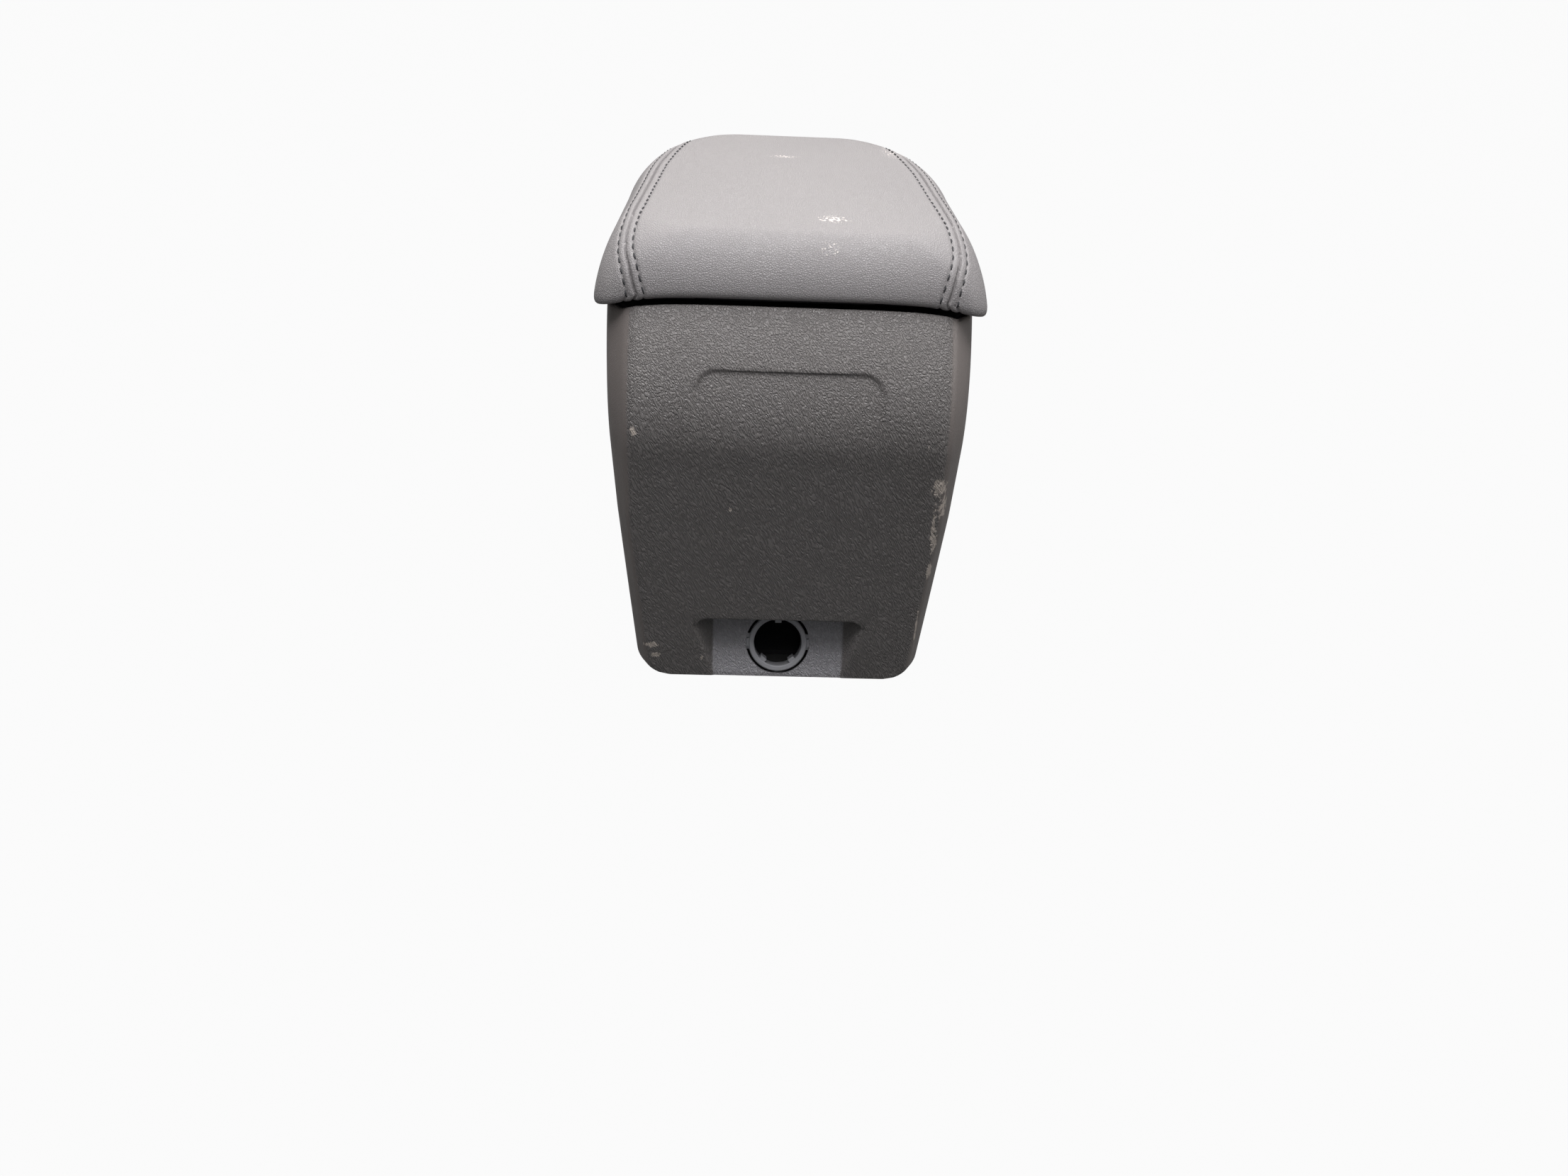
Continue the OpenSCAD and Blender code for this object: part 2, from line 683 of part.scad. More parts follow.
// The flange drops in through the cover's top opening, so it has that opening's outline
module flange_plan() {
    polygon(loop(cover_half(cover_h, cover_wall + flange_gap)));
}
hinge_screws_x = [-28, 28];
hinge_plate_rear = axis_y + arm_reach - arm_foot - 3;
hinge_screw_y = hinge_plate_rear + base_plate_d / 2;
module storage_bin() {
    depth = flange_z - bin_z;
    color([0.13, 0.13, 0.135])
        difference() {
            union() {
                translate([0, 0, bin_z])
                    linear_extrude(depth)
                        bin_plan(0);
                translate([0, 0, flange_z - flange_t])
                    linear_extrude(flange_t)
                        flange_plan();
                // Bosses and webs under the flange that take the hinge's screws
                for (x = hinge_screws_x) {
                    translate([x, hinge_screw_y, flange_z - 15])
                        cylinder(d = boss_d, h = 15 - flange_t / 2);
                    translate([x - rib_t / 2, hinge_screw_y, flange_z - 15])
                        cube([rib_t, bin_y + over - hinge_screw_y, 15 - flange_t / 2]);
                }
            }
            translate([0, 0, bin_z + bin_floor])
                linear_extrude(depth)
                    bin_plan(bin_wall);
            lip_sweep();
            for (x = hinge_screws_x)
                translate([x, hinge_screw_y, flange_z - screw_len - over])
                    cylinder(d = pilot_d, h = screw_len + 2 * over);
            for (s = [-1, 1], y = post_ys)
                translate([s * post_x(y), y, flange_z - flange_t - over])
                    cylinder(d = screw_d + 0.4, h = flange_t + 2 * over);
        }
}

module bin_mat() {
    color([0.09, 0.09, 0.095])
        translate([0, 0, bin_z + bin_floor])
            linear_extrude(mat_t)
                bin_plan(bin_wall + mat_gap);
}

// The base plate starts forward of the niche
base_rear = niche_y + niche_h * tan(niche_tilt) + cover_wall / cos(niche_tilt) + base_gap;
// The pressed ribs stay clear of the cable opening and of the bolts' heads
press_x = cable_w / 2 + press_w / 2 + 3;
press_len = 2 * (foot_boss_ys[1] - boss_d);
module base_plate() {
    color([0.32, 0.33, 0.34])
        difference() {
            union() {
                intersection() {
                    linear_extrude(base_t)
                        polygon(loop(cover_half(0, cover_wall + base_gap)));
                    translate([-foot_w, base_rear, -over])
                        cube([2 * foot_w, total_d, base_t + 2 * over]);
                }
                for (s = [-1, 1])
                    translate([s * press_x - press_w / 2, -press_len / 2, base_t - over])
                        cube([press_w, press_len, press_h + over]);
            }
            for (sx = [-1, 1], sy = [-1, 1])
                translate([sx * bolt_dx / 2, sy * bolt_dy / 2, -over])
                    cylinder(d = bolt_hole_d, h = base_t + 2 * over);
            translate([-cable_w / 2, -cable_d / 2, -over])
                cube([cable_w, cable_d, base_t + 2 * over]);
            for (s = [-1, 1], y = foot_boss_ys)
                translate([s * foot_boss_x(y), y, 0]) {
                    translate([0, 0, -over])
                        cylinder(d = screw_d + 0.4, h = base_t + 2 * over);
                    translate([0, 0, -0.01])
                        cylinder(d1 = screw_head_d + 0.6, d2 = screw_d + 0.4, h = screw_head_h + 0.2);
                }
        }
}

// A screw with its head's flat side at the origin and its shank upwards
module flat_screw() {
    cylinder(d1 = screw_head_d, d2 = screw_d, h = screw_head_h);
    cylinder(d = screw_d, h = screw_len);
}
module pan_screw() {
    translate([0, 0, -screw_head_h])
        rotate_extrude()
            polygon([
                [0, 0],
                [screw_head_d / 2 - 0.6, 0],
                [screw_head_d / 2, 0.6],
                [screw_head_d / 2, screw_head_h],
                [0, screw_head_h]
            ]);
    cylinder(d = screw_d, h = screw_len - over);
}

module cover_screws() {
    color("silver")
        for (s = [-1, 1], y = foot_boss_ys)
            translate([s * foot_boss_x(y), y, 0.2])
                flat_screw();
}
module bin_screws() {
    color("silver")
        for (s = [-1, 1], y = post_ys)
            translate([s * post_x(y), y, flange_z])
                rotate([180, 0, 0])
                    pan_screw();
}
module hinge_base_screws() {
    color("silver")
        for (x = hinge_screws_x)
            translate([x, hinge_screw_y, flange_z + plate_t])
                rotate([180, 0, 0])
                    pan_screw();
}

// Side view of one hinge arm: an eye, a neck forward of the axis, and a foot
module arm_profile() {
    foot_y = arm_reach - arm_foot;
    low = flange_z - axis_z;
    difference() {
        union() {
            circle(eye_r);
            translate([0, -arm_h / 2])
                square([arm_reach - arm_h / 2, arm_h]);
            translate([arm_reach - arm_h / 2 - 0.01, 0])
                intersection() {
                    circle(arm_h / 2);
                    square(arm_h);
                }
            translate([foot_y, low])
                square([arm_foot, -low]);
            // Round inside corner under the neck
            difference() {
                translate([foot_y - 3, -arm_h / 2 - 3])
                    square([3.01, 3.01]);
                translate([foot_y - 3, -arm_h / 2 - 3])
                    circle(3);
            }
        }
        circle(pin_d / 2 + pin_gap);
    }
}
module side_plate(x, t) {
    translate([x, axis_y, axis_z])
        rotate([90, 0, 90])
            linear_extrude(t)
                children();
}
module hinge_base() {
    half = arm_x + arm_t / 2;
    color([0.36, 0.36, 0.37])
        difference() {
            union() {
                translate([-half - 2, hinge_plate_rear, flange_z])
                    cube([2 * half + 4, base_plate_d, plate_t]);
                for (s = [-1, 1])
                    side_plate(s * arm_x - arm_t / 2, arm_t)
                        arm_profile();
            }
            for (x = hinge_screws_x)
                translate([x, hinge_screw_y, flange_z - over])
                    cylinder(d = screw_d + 0.4, h = plate_t + 2 * over);
        }
}

ear_x = arm_x + arm_t / 2 + washer_t + 2 * washer_play;
module hinge_pin() {
    half = ear_x + ear_t + 2 * washer_play;
    color("silver")
        translate([-half - pin_head_t, axis_y, axis_z])
            rotate([0, 90, 0])
                rotate_extrude()
                    polygon([
                        [0, 0],
                        [pin_head_d / 2, 0],
                        [pin_head_d / 2, pin_head_t],
                        [pin_d / 2, pin_head_t],
                        [pin_d / 2, 2 * half + pin_head_t],
                        [pin_head_d / 2, 2 * half + pin_head_t],
                        [pin_head_d / 2, 2 * half + 2 * pin_head_t],
                        [0, 2 * half + 2 * pin_head_t]
                    ]);
}
module hinge_washers() {
    color("white")
        for (s = [0, 1])
            mirror([s, 0, 0])
                side_plate(arm_x + arm_t / 2 + washer_play, washer_t)
                    difference() {
                        circle(eye_r - 0.2);
                        circle(pin_d / 2 + pin_gap);
                    }
}

// Rear bumpers stand on the flange beside the bin, front bumpers ahead of it
rear_bumper_y = post_ys[0] + bumper_set;
rear_bumper_x = post_x(rear_bumper_y) - 1;
front_bumper_y = (bin_y + bin_d + flange_front) / 2;
front_bumper_x = side_x(flange_front, cover_h) - front_r;
bumper_places = [
    [-rear_bumper_x, rear_bumper_y],
    [rear_bumper_x, rear_bumper_y],
    [-front_bumper_x, front_bumper_y],
    [front_bumper_x, front_bumper_y]
];
module lid_bumpers() {
    h = liner_z - flange_z - bumper_gap;
    color([0.06, 0.06, 0.06])
        for (p = bumper_places)
            translate([p[0], p[1], flange_z])
                rotate_extrude()
                    polygon([
                        [0, 0],
                        [bumper_d / 2, 0],
                        [bumper_d / 2, h - 1.5],
                        [bumper_d / 2 - 1.2, h],
                        [0, h]
                    ]);
}

// Hinge leaf on the lid: a plate under the carrier with an ear at each end
eye_in = eye_r * 0.6;
leaf_screws_at = [for (k = [-1:1]) [k * leaf_screw_dx, leaf_rear + leaf_d / 2]];
module hinge_leaf() {
    half = ear_x + ear_t;
    color([0.36, 0.36, 0.37])
        difference() {
            union() {
                translate([-half, leaf_rear, leaf_z])
                    cube([2 * half, leaf_d, plate_t]);
                for (s = [0, 1])
                    mirror([s, 0, 0])
                        side_plate(ear_x, ear_t)
                            difference() {
                                union() {
                                    circle(eye_r);
                                    polygon([
                                        [-eye_in, eye_in],
                                        [eye_in, -eye_in],
                                        [leaf_d - leaf_set, leaf_up],
                                        [leaf_d - leaf_set, leaf_up + plate_t],
                                        [leaf_set, leaf_up + plate_t]
                                    ]);
                                }
                                circle(pin_d / 2 + pin_gap);
                            }
            }
            for (p = leaf_screws_at)
                translate([p[0], p[1], leaf_z - over])
                    cylinder(d = screw_d + 0.4, h = plate_t + 2 * over);
        }
}
// How deep the leaf's screws reach into the carrier
leaf_screw_grip = 5;
module leaf_screws() {
    color("silver")
        for (p = leaf_screws_at)
            translate([p[0], p[1], leaf_z])
                intersection() {
                    pan_screw();
                    translate([-leaf_d / 2, -leaf_d / 2, -leaf_d / 2])
                        cube([leaf_d, leaf_d, leaf_d / 2 + plate_t + leaf_screw_grip]);
                }
}

// Lid: rim outline and crest outline, as loops with the same number of points
function rim_loop(t, rounder = 0) = loop(plan_half(
    lid_rear_w / 2 - t, lid_front_w / 2 - t, lid_rear + t, lid_front - t,
    lid_rear_r + rounder - t, lid_front_rx - t, lid_front_ry - t));
crest_loop = loop(plan_half(
    lid_rear_w / 2 - side_in, lid_front_w / 2 - side_in, lid_rear + rear_in, lid_front - front_in,
    crest_rear_r, crest_front_rx, crest_front_ry));
lid_mid = [0, (lid_rear + rear_in + lid_front - front_in) / 2];
function rim_at(x) = rim_z - arch_drop(x);
function crest_at(y) = rim_z + lid_h + lid_rise * (y - lid_rear) / lid_len;
// Ring at an angle from the rim (0) to the crest (90), with its layer's insets
function lid_ring(a, ts, tt, lift) =
    let (rim = rim_loop(ts))
    [for (j = [0:len(rim) - 1])
        let (
            p = mix(rim[j], crest_loop[j], pow(1 - cos(a), roll_power)),
            z0 = rim_at(p[0]) + lift,
            z1 = crest_at(p[1]) - tt
        )
        [p[0], p[1], mix(z0, z1, sin(a))]];
// Ring on the crowned top, where k is 1 at the crest and 0 at the middle
function top_ring(k, tt) =
    [for (q = crest_loop)
        let (p = mix(lid_mid, q, k))
        [p[0], p[1], crest_at(p[1]) - tt + lid_crown * (1 - k * k)]];
function lid_rings(ts, tt, lift) = concat(
    [for (a = [0:18:90]) lid_ring(a, ts, tt, lift)],
    [for (k = [0.7, 0.4, 0.12]) top_ring(k, tt)]
);
function flat_ring(t, lift) = [for (p = rim_loop(t)) [p[0], p[1], rim_at(p[0]) + lift]];

module lid_carrier() {
    lift = skin_t + layer_gap;
    rib_z = liner_z + liner_t + liner_lip;
    color([0.12, 0.12, 0.125])
        difference() {
            union() {
                dome_shell(lid_rings(carrier_ts, carrier_tt, lift), lid_rings(inner_ts, inner_tt, lift));
                intersection() {
                    dome_solid(lid_rings(inner_ts - carrier_t / 2, inner_tt - carrier_t / 2, lift));
                    union() {
                        for (x = carrier_rib_xs)
                            translate([x - rib_t / 2, leaf_rear + leaf_d + 3, rib_z])
                                cube([rib_t, lid_len, lid_h]);
                        for (y = carrier_rib_ys)
                            translate([-lid_rear_w / 2, y - rib_t / 2, rib_z])
                                cube([lid_rear_w, rib_t, lid_h]);
                        for (p = liner_screws_at)
                            translate([p[0], p[1], liner_z + liner_t])
                                cylinder(d = boss_d, h = lid_h);
                        for (p = leaf_screws_at)
                            translate([p[0], p[1], leaf_z + plate_t])
                                cylinder(d = boss_d, h = lid_h);
                    }
                }
            }
            for (p = liner_screws_at)
                translate([p[0], p[1], liner_z + liner_t - over])
                    cylinder(d = pilot_d, h = screw_len + over);
            for (p = leaf_screws_at)
                translate([p[0], p[1], leaf_z + plate_t - over])
                    cylinder(d = pilot_d, h = leaf_screw_grip + over);
        }
}
// Half width of the lid's rim at a place along it
function rim_x(y) =
    let (
        turn = lid_front - lid_front_ry,
        side = mix(lid_rear_w, lid_front_w, (min(y, turn) - lid_rear) / lid_len) / 2
    )
    side - lid_front_rx * (1 - sqrt(1 - pow(max(0, y - turn) / lid_front_ry, 2)));
carrier_rib_xs = [-40, 0, 40];
carrier_rib_ys = [for (k = [1:3]) mix(leaf_rear + leaf_d, lid_front - front_in, k / 4)];
liner_screw_ys = [for (k = [0:2]) mix(leaf_rear + leaf_d + 24, lid_front - 36, k / 2)];
liner_screws_at = [for (y = liner_screw_ys, s = [-1, 1]) [s * (rim_x(y) - liner_screw_in), y]];

module lid_foam() {
    lift = skin_t + layer_gap;
    color([0.75, 0.72, 0.6])
        dome_shell(
            lid_rings(foam_ts, foam_ts, lift),
            lid_rings(foam_ts + foam_side, foam_ts + foam_top, lift)
        );
}

module lid_skin() {
    dome_shell(
        concat([flat_ring(turn_in, 0)], lid_rings(0, 0, 0)),
        concat([flat_ring(turn_in, skin_t)], lid_rings(skin_t, skin_t, skin_t))
    );
}
// Seam line from the rear lip to the front lip: out over the rear roll, then a long bow
seam_rim = lid_rear_w / 2 - seam_rim_in;
seam_crest = lid_rear_w / 2 - seam_crest_in;
seam_bow = lid_rear_w / 2 - seam_bow_in;
seam_front = lid_front_w / 2 - seam_front_in;
function seam_half() = concat(
    curve(
        [seam_rim, lid_rear - over],
        [seam_crest + 1.5, lid_rear + seam_turn / 2],
        [seam_crest, lid_rear + seam_turn],
        4
    ),
    [for (p = curve(
        [seam_crest, lid_rear + seam_turn],
        [seam_bow, mix(lid_rear, lid_front, 0.52)],
        [seam_front, lid_front + over],
        6
    )) if (p[1] > lid_rear + seam_turn + over) p]
);
module lid_cover_centre() {
    line = seam_half();
    shift = [seam_gap / 2, 0];
    color([0.3, 0.3, 0.305])
        intersection() {
            lid_skin();
            translate([0, 0, rim_z - lid_h])
                linear_extrude(3 * lid_h)
                    polygon(concat(
                        [for (p = line) p - shift],
                        [for (i = [len(line) - 1:-1:0]) [-line[i][0], line[i][1]] + shift]
                    ));
        }
}
module side_skin(s) {
    line = seam_half();
    shift = [seam_gap / 2, 0];
    color([0.3, 0.3, 0.305])
        intersection() {
            lid_skin();
            translate([0, 0, rim_z - lid_h])
                linear_extrude(3 * lid_h)
                    mirror([s, 0])
                        polygon(concat(
                            [for (p = line) p + shift],
                            [[lid_rear_w, lid_front + over], [lid_rear_w, lid_rear - over]]
                        ));
        }
}
module lid_cover_left() {
    side_skin(1);
}
module lid_cover_right() {
    side_skin(0);
}

module lid_lining() {
    edge = turn_in + liner_gap;
    slot_in = arm_x - arm_t / 2 - 2;
    slot_w = arm_t + 4;
    color([0.14, 0.14, 0.145])
        difference() {
            union() {
                translate([0, 0, liner_z])
                    linear_extrude(liner_t)
                        polygon(rim_loop(edge, liner_round));
                difference() {
                    translate([0, 0, liner_z])
                        linear_extrude(liner_t + liner_lip)
                            polygon(rim_loop(edge + liner_t, liner_round));
                    translate([0, 0, liner_z + liner_t / 2])
                        linear_extrude(liner_t + liner_lip + over)
                            polygon(rim_loop(edge + 2 * liner_t, liner_round));
                    translate([-lid_rear_w, lid_rear, liner_z + liner_t])
                        cube([2 * lid_rear_w, leaf_rear + leaf_d - lid_rear, lid_h]);
                }
            }
            for (s = [0, 1])
                mirror([s, 0, 0])
                    translate([slot_in, lid_rear, liner_z - over])
                        cube([slot_w, hinge_in + arm_reach + 8, liner_t + 2 * over]);
            for (p = liner_screws_at)
                translate([p[0], p[1], liner_z]) {
                    translate([0, 0, -over])
                        cylinder(d = screw_d + 0.4, h = liner_t + 2 * over);
                    translate([0, 0, -0.01])
                        cylinder(d1 = screw_head_d + 0.4, d2 = screw_d + 0.4, h = screw_head_h + 0.2);
                }
        }
}
module lining_screws() {
    color("silver")
        for (p = liner_screws_at)
            translate([p[0], p[1], liner_z + 0.1])
                flat_screw();
}

console_cover();
socket_sleeve();
storage_bin();
bin_mat();
base_plate();
cover_screws();
bin_screws();
hinge_base();
hinge_base_screws();
hinge_pin();
hinge_washers();
lid_bumpers();
hinge_leaf();
leaf_screws();
lid_carrier();
lid_foam();
lid_cover_centre();
lid_cover_left();
lid_cover_right();
lid_lining();
lining_screws();
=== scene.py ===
"""Looks of a car centre armrest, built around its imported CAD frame. Sizes are in millimetres until a mesh is made."""
import math

import bmesh
import bpy
import numpy as np
from mathutils import Matrix, Vector, noise
from mathutils.bvhtree import BVHTree


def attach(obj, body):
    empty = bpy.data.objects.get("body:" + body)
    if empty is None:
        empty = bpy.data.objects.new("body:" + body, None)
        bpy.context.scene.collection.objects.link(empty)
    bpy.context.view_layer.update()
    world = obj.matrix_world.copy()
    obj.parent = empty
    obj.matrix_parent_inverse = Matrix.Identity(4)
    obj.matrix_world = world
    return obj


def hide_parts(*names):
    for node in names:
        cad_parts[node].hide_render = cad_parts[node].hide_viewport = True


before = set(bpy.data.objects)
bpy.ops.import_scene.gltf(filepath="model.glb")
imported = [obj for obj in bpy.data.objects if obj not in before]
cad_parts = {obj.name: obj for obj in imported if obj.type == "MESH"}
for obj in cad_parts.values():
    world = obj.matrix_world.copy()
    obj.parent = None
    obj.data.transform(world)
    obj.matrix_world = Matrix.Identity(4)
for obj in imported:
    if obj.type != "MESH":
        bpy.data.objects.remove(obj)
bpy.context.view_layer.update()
MM = 0.001

# Sizes of the cover and the lid, as in the CAD source
TOTAL_D, COVER_H, FOOT_W, OVERHANG, BULGE = 268.0, 210.5, 158.5, 4.1, 0.5
FOOT_FRONT_SET, TOP_FRONT_SET, TAPER, WALL = 42.0, 28.0, 22.0, 2.8
LEAN, BELLY_Z, LEAN_POWER, UNDERCUT = 30.6, 145.7, 1.9, 4.9
CORNER_IN, CORNER_BACK, LOW_IN, LOW_BACK, CORNER_Z = 15.6, 22.3, 6.4, 10.6, 105.0
FRONT_R, FOOT_R, ARCH, ARCH_POWER = 38.0, 10.0, 7.0, 5.3
RECESS_W, RECESS_TOP, RECESS_H, RECESS_D, RECESS_R = 95.0, 184.0, 36.0, 1.5, 11.0
NICHE_W, NICHE_H, NICHE_FLOOR_W, NICHE_TILT, NICHE_R = 94.0, 39.5, 73.0, math.radians(24), 8.0
SOCKET_UP, HOLE_D = 19.8, 36.0
LID_REAR_W, LID_FRONT_W, LID_SET, LID_GAP, LID_H = 200.8, 172.0, 29.5, 3.1, 29.9
LID_RISE, CROWN, SIDE_IN, REAR_IN, FRONT_IN, ROLL = 1.0, 4.0, 18.0, 28.3, 50.6, 0.8
LID_REAR_R, LID_RX, LID_RY, CREST_R, CREST_RX, CREST_RY = 13.0, 80.8, 130.0, 38.5, 42.0, 97.0
SKIN_T, TURN_IN, LAYER, FOAM_SIDE, FOAM_TOP = 1.4, 6.0, 0.15, 1.2, 8.0
HINGE_IN, HINGE_UP, SWEEP_GAP = 11.5, 5.5, 0.3
BACK_Y = -TOTAL_D / 2
LID_FRONT = TOTAL_D / 2
LID_REAR = BACK_Y + LID_SET
RIM_Z = COVER_H + LID_GAP
AXIS_Y, AXIS_Z = LID_REAR + HINGE_IN, RIM_Z + HINGE_UP
TOP_W = LID_REAR_W - 2 * OVERHANG
FOOT_FRONT, TOP_FRONT = LID_FRONT - FOOT_FRONT_SET, LID_FRONT - TOP_FRONT_SET
TOP_D = TOP_FRONT - BACK_Y
NICHE_Y = BACK_Y + UNDERCUT


def mix(a, b, t):
    return a + (b - a) * t


def part_of(t):
    return min(1.0, max(0.0, t))


def bezier(p, q, r, n):
    p, q, r = map(np.array, (p, q, r))
    return [mix(mix(p, q, i / n), mix(q, r, i / n), i / n) for i in range(n + 1)]


def smooth_min(a, b, k):
    h = np.clip(0.5 + 0.5 * (b - a) / k, 0, 1)
    return b + (a - b) * h - k * h * (1 - h)


def smooth_max(a, b, k):
    return -smooth_min(-a, -b, k)


def link(obj):
    bpy.context.scene.collection.objects.link(obj)


# Camera and stage
def place_camera():
    loc = Vector((-22.68, -705.99, 444.3)) * MM
    pitch, yaw, roll, focal = math.radians(33.59), math.radians(2.421), math.radians(2.819), 1798.0
    fwd = Vector((math.sin(yaw) * math.cos(pitch), math.cos(yaw) * math.cos(pitch), -math.sin(pitch)))
    right = Vector((math.cos(yaw), -math.sin(yaw), 0))
    up = right.cross(fwd)
    r = math.cos(roll) * right + math.sin(roll) * up
    u = -math.sin(roll) * right + math.cos(roll) * up
    data = bpy.data.cameras.new("camera")
    data.sensor_width = 36.0
    data.lens = 36.0 * focal / 2212
    data.clip_start, data.clip_end = 0.01, 50
    cam = bpy.data.objects.new("camera", data)
    cam.matrix_world = Matrix((
        (r.x, u.x, -fwd.x, loc.x), (r.y, u.y, -fwd.y, loc.y), (r.z, u.z, -fwd.z, loc.z), (0, 0, 0, 1)))
    link(cam)
    bpy.context.scene.camera = cam


# Node helpers
class Nodes:
    """A small builder of shader nodes; a value may be a number, a colour or another node's output."""

    def __init__(self, name):
        self.mat = bpy.data.materials.new(name)
        self.mat.use_nodes = True
        self.tree = self.mat.node_tree
        self.tree.nodes.clear()
        self.out = self.tree.nodes.new("ShaderNodeOutputMaterial")
        self.pos = self.add("ShaderNodeTexCoord").outputs["Object"]

    def add(self, kind, **props):
        node = self.tree.nodes.new(kind)
        for key, value in props.items():
            setattr(node, key, value)
        return node

    def put(self, node, name, value):
        socket = node.inputs[name]
        if isinstance(value, bpy.types.NodeSocket):
            self.tree.links.new(value, socket)
        else:
            socket.default_value = value

    def math(self, op, a, b=0.0, clamp=False):
        node = self.add("ShaderNodeMath", operation=op, use_clamp=clamp)
        self.put(node, 0, a)
        self.put(node, 1, b)
        return node.outputs[0]

    def stretch(self, scale, turn=(0, 0, 0)):
        """Positions turned first and then drawn out, so that a pattern is longer along a leaning axis."""
        node = self.add("ShaderNodeMapping", vector_type="TEXTURE")
        self.put(node, "Vector", self.pos)
        self.put(node, "Scale", scale)
        self.put(node, "Rotation", turn)
        return node.outputs[0]

    def noise(self, scale, detail=2.0, rough=0.5, vector=None, distortion=0.0):
        node = self.add("ShaderNodeTexNoise")
        self.put(node, "Vector", vector or self.pos)
        for key, value in (("Scale", scale), ("Detail", detail), ("Roughness", rough),
                           ("Distortion", distortion)):
            self.put(node, key, value)
        return node.outputs["Fac"]

    def cells(self, scale):
        node = self.add("ShaderNodeTexVoronoi", feature="DISTANCE_TO_EDGE")
        self.put(node, "Vector", self.pos)
        self.put(node, "Scale", scale)
        return node.outputs["Distance"]

    def ramp(self, value, low, high, to_low=0.0, to_high=1.0):
        node = self.add("ShaderNodeMapRange", interpolation_type="SMOOTHSTEP")
        for key, v in (("Value", value), ("From Min", low), ("From Max", high),
                       ("To Min", to_low), ("To Max", to_high)):
            self.put(node, key, v)
        return node.outputs["Result"]

    def tint(self, fac, a, b):
        node = self.add("ShaderNodeMix", data_type="RGBA")
        self.put(node, "Factor", fac)
        self.put(node, 6, a)
        self.put(node, 7, b)
        return node.outputs[2]

    def bump(self, height, distance, strength):
        node = self.add("ShaderNodeBump")
        self.put(node, "Height", height)
        self.put(node, "Distance", distance)
        self.put(node, "Strength", strength)
        return node.outputs["Normal"]

    def blob(self, centre, size):
        """1 at a point and 0 beyond an ellipsoid around it."""
        sub = self.add("ShaderNodeVectorMath", operation="SUBTRACT")
        self.put(sub, 0, self.pos)
        self.put(sub, 1, [c * MM for c in centre])
        div = self.add("ShaderNodeVectorMath", operation="DIVIDE")
        self.put(div, 0, sub.outputs[0])
        self.put(div, 1, [s * MM for s in size])
        length = self.add("ShaderNodeVectorMath", operation="LENGTH")
        self.put(length, 0, div.outputs[0])
        return self.math("SUBTRACT", 1.0, length.outputs["Value"], clamp=True)

    def finish(self, color, rough, normal, metallic=0.0, specular=0.5, sheen=0.0):
        shader = self.add("ShaderNodeBsdfPrincipled")
        self.put(shader, "Base Color", color)
        self.put(shader, "Roughness", rough)
        self.put(shader, "Metallic", metallic)
        self.put(shader, "Specular IOR Level", specular)
        self.put(shader, "Sheen Weight", sheen)
        self.put(shader, "Normal", normal)
        self.tree.links.new(shader.outputs[0], self.out.inputs["Surface"])
        return self.mat


def srgb(r, g, b):
    def lin(c):
        c /= 255
        return c / 12.92 if c <= 0.04045 else ((c + 0.055) / 1.055) ** 2.4
    return (lin(r), lin(g), lin(b), 1.0)


# Half width of the rear face's grain at the foot, its growth with height, and its greatest
GRAIN_EDGE, GRAIN_GROWTH, GRAIN_MOST = 72.9, 0.0862, 81.4


